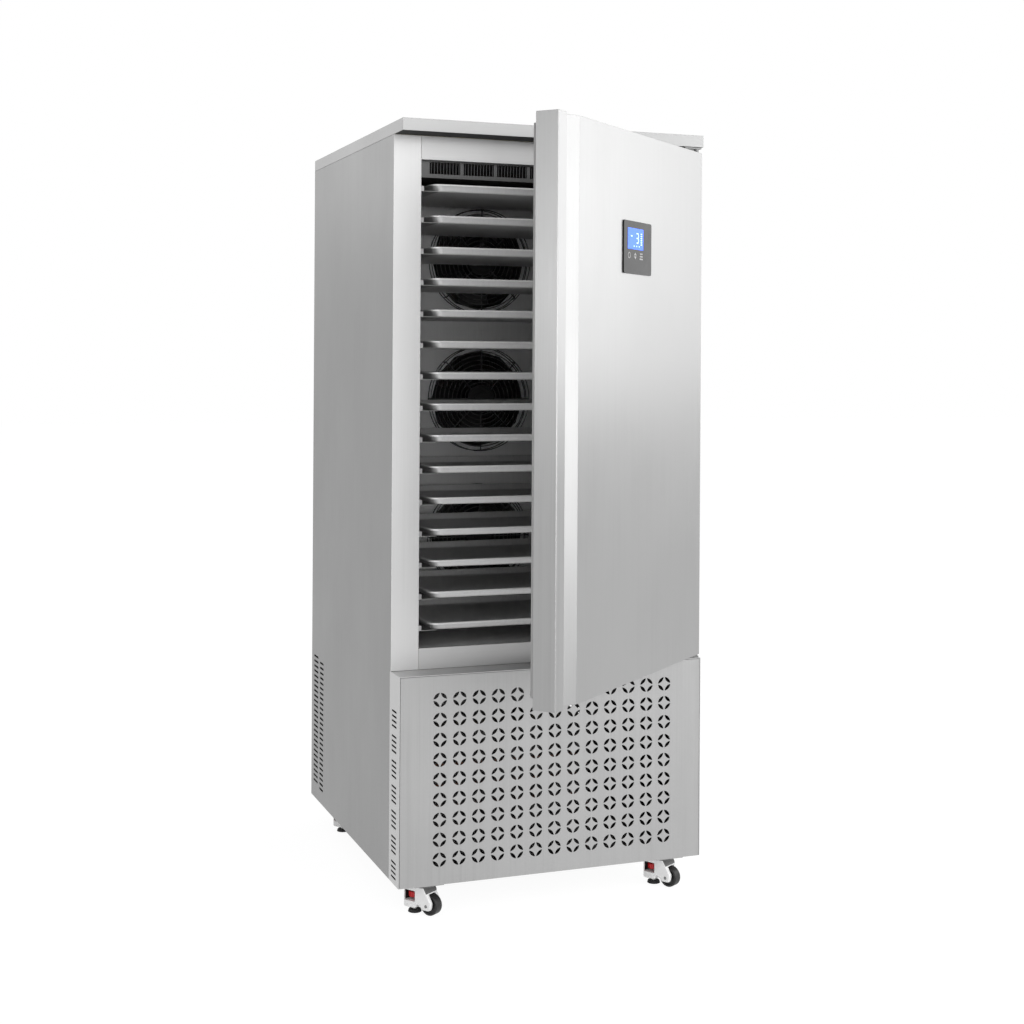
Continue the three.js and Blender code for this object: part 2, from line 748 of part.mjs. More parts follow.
/** Tools for the open sectors between a guard's hub and its rim, clear of its bars. */
function sectors(innerRadius, outerRadius) {
  const reach = (radius) => Math.PI / GUARD_SECTORS - Math.asin(GUARD_WIRE / 2 / radius);
  const [wide, narrow] = [reach(outerRadius), reach(innerRadius)];
  const outline = [
    ...arc(outerRadius, 3, -wide, wide),
    ...arc(innerRadius, 1, -narrow, narrow).reverse(),
  ];
  const tool = raised(shapeOf(outline), [-LAP, GUARD_WIRE + LAP]);
  return Array.from({ length: GUARD_SECTORS }, (_, i) =>
    tool.clone().rotateZ(((i + 0.5) * 2 * Math.PI) / GUARD_SECTORS),
  );
}

/** Fan guard with the motor that it carries, drawn from its front face rearwards. */
function fanGuard() {
  const radius = GUARD_DIAMETER / 2;
  const basket = [
    [0, 0],
    [radius - GUARD_WIRE, 0],
    [radius, GUARD_WIRE],
    [radius, GUARD_DEPTH],
    [radius - GUARD_WIRE, GUARD_DEPTH],
    [radius - GUARD_WIRE, GUARD_WIRE],
    [0, GUARD_WIRE],
  ].map(([r, z]) => new THREE.Vector2(r, z));
  const face = new THREE.LatheGeometry(basket, GUARD_SEGMENTS).rotateX(Math.PI / 2);
  const open = sectors(MOTOR_RADIUS + GUARD_WIRE, radius - 2 * GUARD_WIRE);
  return toRear(join(pierce(face, open), motor()));
}

function evaporatorCoil() {
  const bottom = chamber.floor + SEAM;
  const top = ductBottom - COIL_MARGIN;
  const fins = finPack(
    {
      width: COIL_WIDTH,
      depth: coilRear - coilFront,
      spine: COIL_SPINE,
      fins: COIL_FINS,
      fin: COIL_FIN,
    },
    [chamber.floor + COIL_MARGIN, top],
  ).translate(0, coilFront, 0);
  const sheets = [-1, 1].map((side) => {
    const x = side * (COIL_WIDTH / 2 - COIL_FIN / 2);
    return box(
      [x - COIL_FIN, x + COIL_FIN],
      [coilFront - COIL_FIN, chamber.rear - SEAM],
      [bottom, top + COIL_FIN],
    );
  });
  return join(fins, ...sheets);
}

/** Shallow duct that takes the air forward under the ceiling. */
function ceilingDuct() {
  const half = chamber.half - SEAM;
  const front = faceY + DUCT_SETBACK;
  const top = chamber.ceiling - SEAM;
  const profile = shapeOf([
    [front, ductBottom],
    [coverY + SHEET, ductBottom],
    [coverY + SHEET, ductBottom + SHEET],
    [front + SHEET, ductBottom + SHEET],
    [front + SHEET, top],
    [front, top],
  ]);
  const count = Math.floor((2 * half) / DUCT_PITCH);
  const reach = (DUCT_PITCH - DUCT_POST) / 2;
  const openings = spaced(count, DUCT_PITCH).map((x) =>
    box(
      [x - reach, x + reach],
      [front - LAP, front + SHEET + LAP],
      [ductBottom + DUCT_RAIL, top - DUCT_EDGE],
    ),
  );
  return cut(lateral(profile, [-half, half]), ...openings);
}

// -------------------------------------------------------------------- trays and racks
const lowestRim = chamber.floor + LOWEST_TRAY;
const trayPitch = (chamber.ceiling - HIGHEST_TRAY - lowestRim) / (TRAYS - 1);
const trayRims = Array.from({ length: TRAYS }, (_, i) => lowestRim + i * trayPitch).reverse();

/** Corners of a tray's outline at one height, drawn in from its edge all round. */
function trayLoop(inset, height) {
  const [u, v] = [trayWidth / 2 - inset, TRAY_LENGTH / 2 - inset];
  return [
    [u, -v],
    [u, v],
    [-u, v],
    [-u, -v],
  ].map(([x, y]) => new THREE.Vector3(x, y, height));
}

/** Closed skin over a run of loops with equal counts, capped at both ends. */
function skin(loops) {
  const size = loops[0].length;
  const indices = [];
  for (let i = 0; i < loops.length - 1; i += 1) {
    for (let j = 0; j < size; j += 1) {
      const next = (j + 1) % size;
      const [a, b] = [i * size + j, i * size + next];
      indices.push(a, b, b + size, a, b + size, a + size);
    }
  }
  const last = (loops.length - 1) * size;
  for (let j = 1; j < size - 1; j += 1) {
    indices.push(0, j + 1, j, last, last + j, last + j + 1);
  }
  const geometry = new THREE.BufferGeometry();
  const points = loops.flat().flatMap((point) => point.toArray());
  geometry.setAttribute('position', new THREE.Float32BufferAttribute(points, 3));
  geometry.setIndex(indices);
  geometry.computeVertexNormals();
  return geometry;
}

/** Shallow baking tray with a flat rim, drawn round its own middle, rim at zero. */
function tray() {
  const t = TRAY_SHEET;
  return skin([
    trayLoop(TRAY_RIM + TRAY_SLOPE, -TRAY_DEPTH),
    trayLoop(TRAY_RIM, -t),
    trayLoop(0, -t),
    trayLoop(0, 0),
    trayLoop(TRAY_RIM + t, 0),
    trayLoop(TRAY_RIM + TRAY_SLOPE + t, t - TRAY_DEPTH),
  ]);
}

/** Side rack against one wall of the chamber: an upright sheet with its runners. */
function rack(side) {
  const wall = side * (chamber.half - SEAM);
  const sheet = wall - side * RACK_SHEET;
  const ledge = wall - side * RUNNER_REACH;
  const lip = wall - side * RUNNER_GUIDE;
  const outline = [
    [wall, chamber.floor + SEAM],
    [wall, trayRims[0]],
    [sheet, trayRims[0]],
  ];
  for (const rim of trayRims) {
    const top = rim - TRAY_DEPTH - SEAM;
    outline.push(
      [sheet, top + RUNNER_HEIGHT],
      [lip, top + RUNNER_HEIGHT],
      [lip, top],
      [ledge, top],
      [ledge, top - RUNNER_SHEET],
      [sheet, top - RUNNER_SHEET],
    );
  }
  outline.push([sheet, chamber.floor + SEAM]);
  return frontal(shapeOf(outline), [trayFront + TRAY_RIM, trayRear]);
}

// ------------------------------------------------------------------------------ door
const hinge = {
  x: halfWidth - HINGE_FROM_EDGE,
  y: frontY + HINGE_FROM_FRONT,
};
const door = {
  bottom: bayTop + DOOR_GAP_BELOW,
  top: lidUnderside - DOOR_GAP_ABOVE,
  hingeEdge: HINGE_FROM_EDGE,
  freeEdge: HINGE_FROM_EDGE - CABINET_WIDTH,
  front: -HINGE_FROM_FRONT,
  back: DOOR_THICKNESS - HINGE_FROM_FRONT,
};

/**
 * Plan of the door as seen from above, closed, with the hinge axis at zero. The face
 * dips near the free edge and runs on behind a lip, which the fingers pull.
 */
function doorOutline(inset, back) {
  const { hingeEdge, freeEdge, front } = door;
  const dip = freeEdge + GRIP_START;
  const bottom = front + GRIP_DEPTH;
  return shapeOf([
    [hingeEdge - inset, back],
    [hingeEdge - inset, front + EDGE_BEVEL + inset / 2],
    [hingeEdge - EDGE_BEVEL - inset / 2, front + inset],
    [dip + inset / 4, front + inset],
    [dip - GRIP_SLOPE + inset / 4, bottom + inset],
    [freeEdge + GRIP_WALL - inset, bottom + inset],
    ...lipOutline(inset),
    [freeEdge + inset, back],
  ]);
}

/** Free edge of the door's plan: the lip in front and the closed edge beside it. */
function lipOutline(inset) {
  const { freeEdge, front } = door;
  const solid = inset > LIP_THICKNESS / 2;
  const finger = [freeEdge + GRIP_WALL - inset, front + LIP_THICKNESS];
  const nose = [
    [freeEdge + GRIP_LIP, front + LIP_THICKNESS],
    [freeEdge + GRIP_LIP, front + LIP_BEVEL],
    [freeEdge + GRIP_LIP - LIP_BEVEL, front],
  ];
  return [
    ...(solid ? [] : [finger, ...nose]),
    ...(solid ? [[finger[0], front + inset * 2]] : [[freeEdge + EDGE_BEVEL, front]]),
    [freeEdge + inset, front + (solid ? inset * 2 : EDGE_BEVEL)],
  ];
}

/** Hinge pin holes, one at each end of the door. */
const pinHoles = () =>
  [
    [door.bottom - LAP, door.bottom + HINGE_PIN_LENGTH + PIN_PLAY],
    [door.top - HINGE_PIN_LENGTH - PIN_PLAY, door.top + LAP],
  ].map((range) => bore(HINGE_PIN_RADIUS + PIN_PLAY, 10, range));

/** Solid corners round the hinge pins, inside the door. */
const bushes = (grow) =>
  [
    [door.bottom + SHEET / 2, door.bottom + BUSH + grow],
    [door.top - BUSH - grow, door.top - SHEET / 2],
  ].map((range) =>
    box(
      [door.hingeEdge - BUSH - grow, door.hingeEdge - SHEET / 2],
      [door.front + SHEET / 2, door.front + BUSH + grow],
      range,
    ),
  );

/** Outer pan of the door: one folded sheet with the grip along its free edge. */
function doorSkin() {
  const pan = cut(
    raised(doorOutline(0, door.back), [door.bottom, door.top]),
    raised(doorOutline(SHEET, door.back + LAP), [door.bottom + SHEET, door.top - SHEET]),
  );
  return cut(join(pan, ...bushes(0)), ...pinHoles());
}

/** Foam and inner sheet that fill the pan, raised in the middle. */
function doorLiner() {
  const margin = SHEET + SEAM;
  const filling = raised(doorOutline(margin, door.back), [
    door.bottom + margin,
    door.top - margin,
  ]);
  const middle = (door.hingeEdge + door.freeEdge) / 2;
  const halfHeight = (door.top - door.bottom) / 2 - PLUG_INSET;
  const plug = skin(
    [
        [0, door.back - LAP],
      [0, door.back],
      [PLUG_SLOPE, door.back + PLUG_DEPTH],
    ].map(([shrink, y]) => {
      const u = CABINET_WIDTH / 2 - PLUG_INSET - shrink;
      const v = halfHeight - shrink;
      const z = (door.top + door.bottom) / 2;
      return [
        new THREE.Vector3(middle - u, y, z - v),
        new THREE.Vector3(middle - u, y, z + v),
        new THREE.Vector3(middle + u, y, z + v),
        new THREE.Vector3(middle + u, y, z - v),
      ];
    }),
  );
  return cut(join(filling, plug), ...bushes(SEAM));
}

/** Rubber seal on the door's back, landing on the frame round the chamber. */
function doorGasket() {
  const { hingeEdge, freeEdge, bottom, top } = door;
  const frame = (inset) => [
    [freeEdge + inset, bottom + inset],
    [hingeEdge - inset, bottom + inset],
    [hingeEdge - inset, top - inset],
    [freeEdge + inset, top - inset],
  ];
  const outline = shapeOf(frame(GASKET_INSET));
  const inside = frame(GASKET_INSET + GASKET_WIDTH).map(([u, v]) => new THREE.Vector2(u, v));
  outline.holes.push(new THREE.Path(inside));
  const seat = door.back + SEAM;
  return frontal(outline, [seat, faceY - hinge.y - SEAM]);
}

/** Glass control panel on the door's face. */
function controlPanel() {
  const middle = (door.bottom + door.top) / 2 + PANEL_ABOVE_DOOR_MIDDLE;
  const across = PANEL_WIDTH / 2 - PANEL_CORNER;
  const up = PANEL_HEIGHT / 2 - PANEL_CORNER;
  const corners = [
    [across, up],
    [-across, up],
    [-across, -up],
    [across, -up],
  ];
  const outline = corners.flatMap(([u, v], i) =>
    arc(PANEL_CORNER, 3, (i * Math.PI) / 2, ((i + 1) * Math.PI) / 2).map(([du, dv]) => [
      u + du,
      v + dv,
    ]),
  );
  const seat = door.front - SEAM;
  return frontal(shapeOf(outline), [seat - PANEL_THICKNESS, seat]).translate(
    (door.hingeEdge + door.freeEdge) / 2,
    0,
    middle,
  );
}

/** Width of a hinge plate, up to its margin from the cabinet's side. */
const plateRange = [halfWidth - HINGE_EDGE - HINGE_WIDTH, halfWidth - HINGE_EDGE];

/** Upper hinge: a plate under the lid, its leg on the frame, its pin in the door. */
function hingeTop() {
  const top = lidUnderside - SEAM;
  const back = faceY - SEAM;
  const plate = box(plateRange, [frontY + HINGE_EDGE, back], [top - HINGE_PLATE, top]);
  const leg = box(
    plateRange,
    [back - HINGE_PLATE, back],
    [top - HINGE_PLATE, top - HINGE_PLATE + HINGE_LEG],
  );
  const range = [door.top - HINGE_PIN_LENGTH, top - HINGE_PLATE + LAP];
  return join(plate, leg, pin(HINGE_PIN_RADIUS, 10, range).translate(hinge.x, hinge.y, 0));
}

/** Lower hinge: a plate on the ledge with the collar and pin that carry the door. */
function hingeBottom() {
  const bottom = bayTop + SEAM;
  const top = bottom + HINGE_PLATE;
  const plate = box(plateRange, [frontY + HINGE_EDGE, faceY - SEAM], [bottom, top]);
  const collar = pin(HINGE_COLLAR_RADIUS, 10, [top - LAP, door.bottom - SEAM]);
  const post = pin(HINGE_PIN_RADIUS, 10, [top - LAP, door.bottom + HINGE_PIN_LENGTH]);
  return join(
    plate,
    collar.translate(hinge.x, hinge.y, 0),
    post.translate(hinge.x, hinge.y, 0),
  );
}

// --------------------------------------------------------------------------- castors
const housingTop = bodyBottom - CASTOR_PLATE_THICKNESS - SEAM;
const axleHeight = WHEEL_RADIUS + WHEEL_CLEARANCE;

/** Swivelling housing round the wheel and the screw foot, its axis on zero. */
function castorHousing() {
  const left = -HOUSING_LENGTH / 2;
  const right = HOUSING_LENGTH / 2;
  const bottom = HOUSING_CLEARANCE;
  const outline = shapeOf([
    [left, bottom],
    [-FORK_FRONT, bottom],
    [-FORK_FRONT, bottom + FORK_RISE],
    [WHEEL_OFFSET - FORK_BOSS, bottom],
    [WHEEL_OFFSET + FORK_BOSS, bottom],
    [WHEEL_OFFSET + FORK_FLARE, housingTop - FORK_TOP],
    [right, housingTop - 2 * HOUSING_BEVEL],
    [right - 2 * HOUSING_BEVEL, housingTop],
    [left + HOUSING_BEVEL, housingTop],
    [left, housingTop - HOUSING_BEVEL],
  ]);
  const body = frontal(outline, [-HOUSING_WIDTH / 2, HOUSING_WIDTH / 2]);
  const tyre = WHEEL_RADIUS + WHEEL_PLAY;
  const slotHalf = WHEEL_WIDTH / 2 + WHEEL_PLAY;
  const wheelSlot = box(
    [WHEEL_OFFSET - tyre, right + LAP],
    [-slotHalf, slotHalf],
    [bottom - LAP, axleHeight + tyre],
  );
  const dialReach = DIAL_RADIUS + WHEEL_PLAY;
  const dialWindow = box(
    [left - LAP, -FOOT_OFFSET + dialReach],
    [-HOUSING_WIDTH, HOUSING_WIDTH],
    [DIAL_RISE - FOOT_TRAVEL - LAP, DIAL_RISE + DIAL_HEIGHT + FOOT_TRAVEL + LAP],
  );
  const screwBore = bore(SCREW_RADIUS + PIN_PLAY, 8, [
    bottom - LAP,
    SCREW_TOP + FOOT_TRAVEL + LAP,
  ]).translate(-FOOT_OFFSET, 0, 0);
  const kingpinBore = bore(KINGPIN_RADIUS + PIN_PLAY, 8, [
    housingTop - KINGPIN_LENGTH - LAP,
    housingTop + LAP,
  ]);
  const axle = toRear(pin(AXLE_RADIUS, 8, [LAP, HOUSING_WIDTH - LAP])).translate(
    WHEEL_OFFSET,
    -HOUSING_WIDTH / 2,
    axleHeight,
  );
  return join(cut(body, wheelSlot, dialWindow, screwBore, kingpinBore), axle);
}

/** Castor wheel round its own axle, which lies along Y. */
function castorWheel() {
  const disc = pin(WHEEL_RADIUS, 14, [-WHEEL_WIDTH / 2, WHEEL_WIDTH / 2]);
  const hole = bore(AXLE_RADIUS + PIN_PLAY, 8, [-WHEEL_WIDTH, WHEEL_WIDTH]);
  return toRear(cut(disc, hole));
}

/** Screw foot with its pad and its dial, turned on one axis. */
function castorFoot() {
  const profile = [
    [0, 0],
    [FOOT_RADIUS, 0],
    [FOOT_RADIUS, FOOT_HEIGHT],
    [SCREW_RADIUS, FOOT_HEIGHT],
    [SCREW_RADIUS, DIAL_RISE],
    [DIAL_RADIUS, DIAL_RISE],
    [DIAL_RADIUS, DIAL_RISE + DIAL_HEIGHT],
    [SCREW_RADIUS, DIAL_RISE + DIAL_HEIGHT],
    [SCREW_RADIUS, SCREW_TOP],
    [0, SCREW_TOP],
  ].map(([r, z]) => new THREE.Vector2(r, z));
  return new THREE.LatheGeometry(profile, 8).rotateX(Math.PI / 2);
}

/** One castor on its swivel axis, turned to its heading. */
function castor({ name, x, y, heading }) {
  const wheel = piece(`castor_wheel_${name}`, castorWheel(), FINISHES.wheel);
  wheel.position.set(WHEEL_OFFSET, 0, axleHeight);
  const foot = piece(`castor_foot_${name}`, castorFoot(), FINISHES.foot);
  foot.position.set(-FOOT_OFFSET, 0, 0);
  const housing = piece(`castor_housing_${name}`, castorHousing(), FINISHES.castor);
  const group = assembly(housing, wheel, foot);
  group.position.set(x, y, 0);
  group.rotation.z = degrees(heading);
  return group;
}

// -------------------------------------------------------------------------- assembly
function cabinet() {
  return assembly(
    piece('left_side_panel', sidePanel(-1), FINISHES.sidePanel),
    piece('right_side_panel', sidePanel(1), FINISHES.sidePanel),
    piece('rear_panel', rearPanel(), FINISHES.sidePanel),
    piece('top_lid', topLid(), FINISHES.lid),
    piece('insulation_core', insulationCore(), FINISHES.foam),
    piece('inner_liner', innerLiner(), FINISHES.liner),
    piece('left_stile', stile(-1), FINISHES.frame),
    piece('right_stile', stile(1), FINISHES.frame),
    piece('header_rail', rail(chamber.ceiling, lidUnderside - SEAM), FINISHES.frame),
    piece('sill_rail', rail(chamber.floor, bayTop + SEAM), FINISHES.frame),
    piece('bay_surround', baySurround(), FINISHES.frame),
    piece('grille_panel', grillePanel(), FINISHES.grille),
    piece('base_frame', baseFrame(), FINISHES.sidePanel),
    piece('hinge_top', hingeTop(), FINISHES.hinge),
    piece('hinge_bottom', hingeBottom(), FINISHES.hinge),
  );
}

function machineBay() {
  const fan = piece('condenser_fan', toRear(rotor()), FINISHES.fan);
  fan.position.set(
    condenserFan.x,
    condenserFront + CONDENSER_DEPTH + MOTOR_LENGTH - LAP + SEAM,
    condenserFan.z,
  );
  return assembly(
    piece('condenser', condenser(), FINISHES.fins),
    piece('compressor', compressor(), FINISHES.machine),
    fan,
  );
}

function evaporator() {
  const fans = fanHeights.flatMap((z, i) => {
    const guard = piece(`fan_guard_${i + 1}`, fanGuard(), FINISHES.fan);
    guard.position.set(0, guardY, z);
    const blades = piece(`fan_rotor_${i + 1}`, toRear(rotor()), FINISHES.fan);
    blades.position.set(0, rotorY, z);
    return [guard, blades];
  });
  return assembly(
    piece('evaporator_cover', evaporatorCover(), FINISHES.liner),
    piece('evaporator_coil', evaporatorCoil(), FINISHES.fins),
    piece('ceiling_duct', ceilingDuct(), FINISHES.liner),
    ...fans,
  );
}

function shelving() {
  const trays = trayRims.map((rim, i) => {
    const name = `tray_${String(i + 1).padStart(2, '0')}`;
    const mesh = piece(name, tray(), FINISHES.tray);
    mesh.position.set(0, trayFront + TRAY_LENGTH / 2, rim);
    return mesh;
  });
  return assembly(
    piece('rack_left', rack(-1), FINISHES.runner),
    piece('rack_right', rack(1), FINISHES.runner),
    ...trays,
  );
}

/** The door on its hinge axis, swung open to where it stands ajar. */
function hangingDoor() {
  const group = assembly(
    piece('door_skin', doorSkin(), FINISHES.door),
    piece('door_liner', doorLiner(), FINISHES.liner),
    piece('door_gasket', doorGasket(), FINISHES.gasket),
    piece('control_panel', controlPanel(), FINISHES.glass),
  );
  group.position.set(hinge.x, hinge.y, 0);
  group.rotation.z = degrees(DOOR_AJAR);
  return group;
}

const chiller = assembly(
  cabinet(),
  machineBay(),
  evaporator(),
  shelving(),
  hangingDoor(),
  ...swivels.map(castor),
);
chiller.updateMatrixWorld(true);
const footprint = new THREE.Box3().setFromObject(chiller, true);
const middle = footprint.getCenter(new THREE.Vector3());
chiller.position.set(-middle.x, -middle.y, 0);

export default chiller;
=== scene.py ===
"""Looks of an upright blast chiller on levelling castors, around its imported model.

Metres, +Z up, the front looks along -Y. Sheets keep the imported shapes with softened
folds. The door, grille, fans, trays, castors and machinery are modelled again in finer
detail, in the same places.
"""

import logging
import math
from collections.abc import Callable, Iterator, Sequence
from contextlib import contextmanager
from dataclasses import dataclass
from enum import Enum

import bmesh
import bpy
from mathutils import Matrix, Vector


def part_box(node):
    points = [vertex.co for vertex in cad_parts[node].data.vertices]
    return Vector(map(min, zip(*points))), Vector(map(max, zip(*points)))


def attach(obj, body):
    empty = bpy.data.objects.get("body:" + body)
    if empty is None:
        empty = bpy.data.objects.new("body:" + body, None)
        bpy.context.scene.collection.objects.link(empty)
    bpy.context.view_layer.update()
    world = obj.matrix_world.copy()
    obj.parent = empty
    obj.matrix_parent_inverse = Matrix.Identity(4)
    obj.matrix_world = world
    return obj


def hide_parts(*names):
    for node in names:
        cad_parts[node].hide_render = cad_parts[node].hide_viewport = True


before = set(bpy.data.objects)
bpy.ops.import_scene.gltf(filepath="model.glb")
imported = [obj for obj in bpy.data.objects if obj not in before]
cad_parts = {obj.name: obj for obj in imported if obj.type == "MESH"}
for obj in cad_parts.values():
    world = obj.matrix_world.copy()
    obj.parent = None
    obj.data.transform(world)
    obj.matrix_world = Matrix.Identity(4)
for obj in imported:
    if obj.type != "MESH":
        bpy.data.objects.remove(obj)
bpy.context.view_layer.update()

LOG = logging.getLogger("blast_chiller")
MM = 0.001
QUARTER_TURN = math.pi / 2
NEAR = 0.1 * MM  # a corner this close to a plane lies in it
FACING = 0.9  # share of a normal from which a face looks along an axis

Point = tuple[float, float]
Colour = tuple[float, float, float, float]
Socket = bpy.types.NodeSocket


# ------------------------------------------------------------------------- small helpers
def linear(red: float, green: float, blue: float) -> Colour:
    """Turns a colour written in 0 to 255 steps into the renderer's linear values.

    Args:
        red, green, blue: Levels from 0 to 255.

    Returns:
        The colour, fully opaque.
    """

    def channel(level: float) -> float:
        """One channel of the colour."""
        share = level / 255
        return share / 12.92 if share <= 0.04045 else ((share + 0.055) / 1.055) ** 2.4

    return (channel(red), channel(green), channel(blue), 1.0)


def grey(level: float) -> Colour:
    """A neutral grey written in 0 to 255 steps."""
    return linear(level, level, level)


def shaded(colour: Colour, factor: float) -> Colour:
    """The same hue, lighter or darker by a factor."""
    return (*(min(1.0, channel * factor) for channel in colour[:3]), 1.0)


def filleted(corners: Sequence[tuple[float, float, float]], segments: int = 5) -> list[Point]:
    """Rounds the corners of a closed outline.

    Args:
        corners: Each corner's two coordinates and the radius that it is rounded to.
        segments: Straight pieces in each rounding.

    Returns:
        The points of the outline, with an arc for each corner that has a radius.
    """
    points: list[Point] = []
    for index, (u, v, radius) in enumerate(corners):
        corner = Vector((u, v))
        before = (Vector(corners[index - 1][:2]) - corner).normalized()
        after = (Vector(corners[(index + 1) % len(corners)][:2]) - corner).normalized()
        if radius <= 0:
            points.append((u, v))
            continue
        half = before.angle(after) / 2
        reach = radius / math.tan(half)
        centre = corner + (before + after).normalized() * (radius / math.sin(half))
        start = corner + before * reach - centre
        end = corner + after * reach - centre
        sweep = start.angle_signed(end)
        for step in range(segments + 1):
            turned = Matrix.Rotation(-sweep * step / segments, 2) @ start
            points.append(tuple(centre + turned))
    return points


def spaced(count: int, pitch: float) -> list[float]:
    """Places in a row, centred on zero."""
    return [(index - (count - 1) / 2) * pitch for index in range(count)]


def put_down_all() -> None:
    """Leaves edit mode and deselects every object."""
    active = bpy.context.object
    if active and active.mode != "OBJECT":
        bpy.ops.object.mode_set(mode="OBJECT")
    bpy.ops.object.select_all(action="DESELECT")


class Part(Enum):
    """What a selection in edit mode is made of."""

    VERTEX = "VERT"
    EDGE = "EDGE"
    FACE = "FACE"


class Axis(Enum):
    """Direction that a rod, hoop or grain follows."""

    X = (0.0, QUARTER_TURN, 0.0)
    Y = (QUARTER_TURN, 0.0, 0.0)
    Z = (0.0, 0.0, 0.0)


# --------------------------------------------------------------------------- workpieces
class Workpiece:
    """One mesh shaped with hand operators, at its real size and place."""

    def __init__(self, name: str, made: bpy.types.Object | None = None) -> None:
        """Takes over the given object, or else the one that was just added."""
        self.obj = made or bpy.context.object
        self.obj.name = name
        self.obj.data.name = name

    # ----------------------------------------------------------------- starting shapes
    @classmethod
    def block(cls, name: str, low: Sequence[float], high: Sequence[float]) -> "Workpiece":
        """A cuboid between two corners.

        Args:
            name: The piece's name.
            low, high: The two corners.

        Returns:
            The cuboid.
        """
        low, high = Vector(low), Vector(high)
        put_down_all()
        bpy.ops.mesh.primitive_cube_add(size=1, location=(low + high) / 2, scale=high - low)
        return cls(name).settle()

    @classmethod
    def rod(
        cls,
        name: str,
        centre: Sequence[float],
        radius: float,
        length: float,
        axis: Axis = Axis.Z,
        segments: int = 32,
    ) -> "Workpiece":
        """A cylinder round its middle, along one of the axes.

        Args:
            name: The piece's name.
            centre: Its middle.
            radius, length: Its size.
            axis: Its direction.
            segments: Faces round it.

        Returns:
            The cylinder.
        """
        put_down_all()
        bpy.ops.mesh.primitive_cylinder_add(
            vertices=segments, radius=radius, depth=length, location=centre, rotation=axis.value
        )
        return cls(name).settle()

    @classmethod
    def hoop(
        cls, name: str, centre: Sequence[float], radius: float, wire: float, axis: Axis
    ) -> "Workpiece":
        """A ring of round wire about an axis; wire is its thickness.

        Args:
            name: The piece's name.
            centre: Its middle.
            radius: To the middle of the wire.
            wire: Thickness of the wire.
            axis: What it goes round.

        Returns:
            The ring.
        """
        put_down_all()
        bpy.ops.mesh.primitive_torus_add(
            location=centre,
            rotation=axis.value,
            major_radius=radius,
            minor_radius=wire / 2,
            major_segments=56,
            minor_segments=6,
        )
        return cls(name).settle()

    @classmethod
    def traced(cls, name: str, points: Sequence[Sequence[float]]) -> "Workpiece":
        """A closed outline of edges, drawn by extruding one corner from point to point.

        Args:
            name: The piece's name.
            points: Corners of the outline, in order.

        Returns:
            The outline, without a face.
        """
        places = [Vector(point) for point in points]
        put_down_all()
        bpy.ops.mesh.primitive_plane_add(size=1)
        piece = cls(name)
        with piece.worked():
            piece.pick(Part.VERTEX, lambda corner: corner.index > 0)
            bpy.ops.mesh.delete(type="VERT")
            piece.pick(Part.VERTEX, lambda corner: True)
            start = bmesh.from_edit_mesh(piece.obj.data).verts[:][0].co.copy()
            bpy.ops.transform.translate(value=places[0] - start)
            for here, there in zip(places, places[1:]):
                bpy.ops.mesh.extrude_vertices_move(TRANSFORM_OT_translate={"value": there - here})
            ends, near = (places[0], places[-1]), 0.05 * MM
            piece.pick(
                Part.VERTEX, lambda corner: any((corner.co - end).length < near for end in ends)
            )
            bpy.ops.mesh.edge_face_add()
        return piece

    @classmethod
    def wire(cls, name: str, points: Sequence[Sequence[float]], thickness: float) -> "Workpiece":
        """A round wire or tube along a bent line, with its ends closed.

        Args:
            name: The piece's name.
            points: Corners of its middle line.
            thickness: Its diameter.

        Returns:
            The wire as a mesh.
        """
        line = bpy.data.curves.new(name, "CURVE")
        line.dimensions = "3D"
        line.bevel_depth = thickness / 2
        line.bevel_resolution = 2
        line.use_fill_caps = True
        spline = line.splines.new("POLY")
        spline.points.add(len(points) - 1)
        for knot, point in zip(spline.points, points):
            knot.co = (*point, 1.0)
        obj = bpy.data.objects.new(name, line)
        bpy.context.scene.collection.objects.link(obj)
        put_down_all()
        obj.select_set(True)
        bpy.context.view_layer.objects.active = obj
        bpy.ops.object.convert(target="MESH")
        return cls(name)

    @classmethod
    def copy_of(cls, name: str, node: str) -> "Workpiece":
        """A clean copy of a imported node: doubles merged and flat faces joined.

        Args:
            name: The piece's name.
            node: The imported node.

        Returns:
            The copy.
        """
        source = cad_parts[node]
        obj = bpy.data.objects.new(name, source.data.copy())
        bpy.context.scene.collection.objects.link(obj)
        obj.data.materials.clear()
        piece = cls(name, obj)
        with piece.worked():
            bpy.ops.mesh.select_all(action="SELECT")
            bpy.ops.mesh.remove_doubles(threshold=0.01 * MM)
            bpy.ops.mesh.dissolve_limited(angle_limit=math.radians(1))
        return piece

    # ------------------------------------------------------------------------ handling
    def hold(self) -> None:
        """Makes this the only selected object, and the active one."""
        put_down_all()
        self.obj.select_set(True)
        bpy.context.view_layer.objects.active = self.obj

    @contextmanager
    def worked(self) -> Iterator[None]:
        """Edit mode on this piece while the block runs.

        Yields:
            Nothing, with the piece in edit mode.
        """
        self.hold()
        bpy.ops.object.mode_set(mode="EDIT")
        yield
        bpy.ops.object.mode_set(mode="OBJECT")

    def pick(self, part: Part, wanted: Callable[..., bool]) -> None:
        """Selects the vertices, edges or faces that a test accepts, in edit mode.

        Args:
            part: What is selected.
            wanted: Test of one of them.
        """
        bpy.ops.mesh.select_mode(type=part.value)
        bpy.ops.mesh.select_all(action="DESELECT")
        mesh = bmesh.from_edit_mesh(self.obj.data)
        elements = {Part.VERTEX: mesh.verts, Part.EDGE: mesh.edges, Part.FACE: mesh.faces}[part]
        elements.ensure_lookup_table()
        elements.index_update()
        for element in elements:
            if wanted(element):
                element.select_set(True)
        mesh.select_flush_mode()
        bmesh.update_edit_mesh(self.obj.data)

    def settle(self) -> "Workpiece":
        """Moves the object's place, turn and scale into its mesh."""
        self.hold()
        bpy.ops.object.transform_apply(location=True, rotation=True, scale=True)
        return self

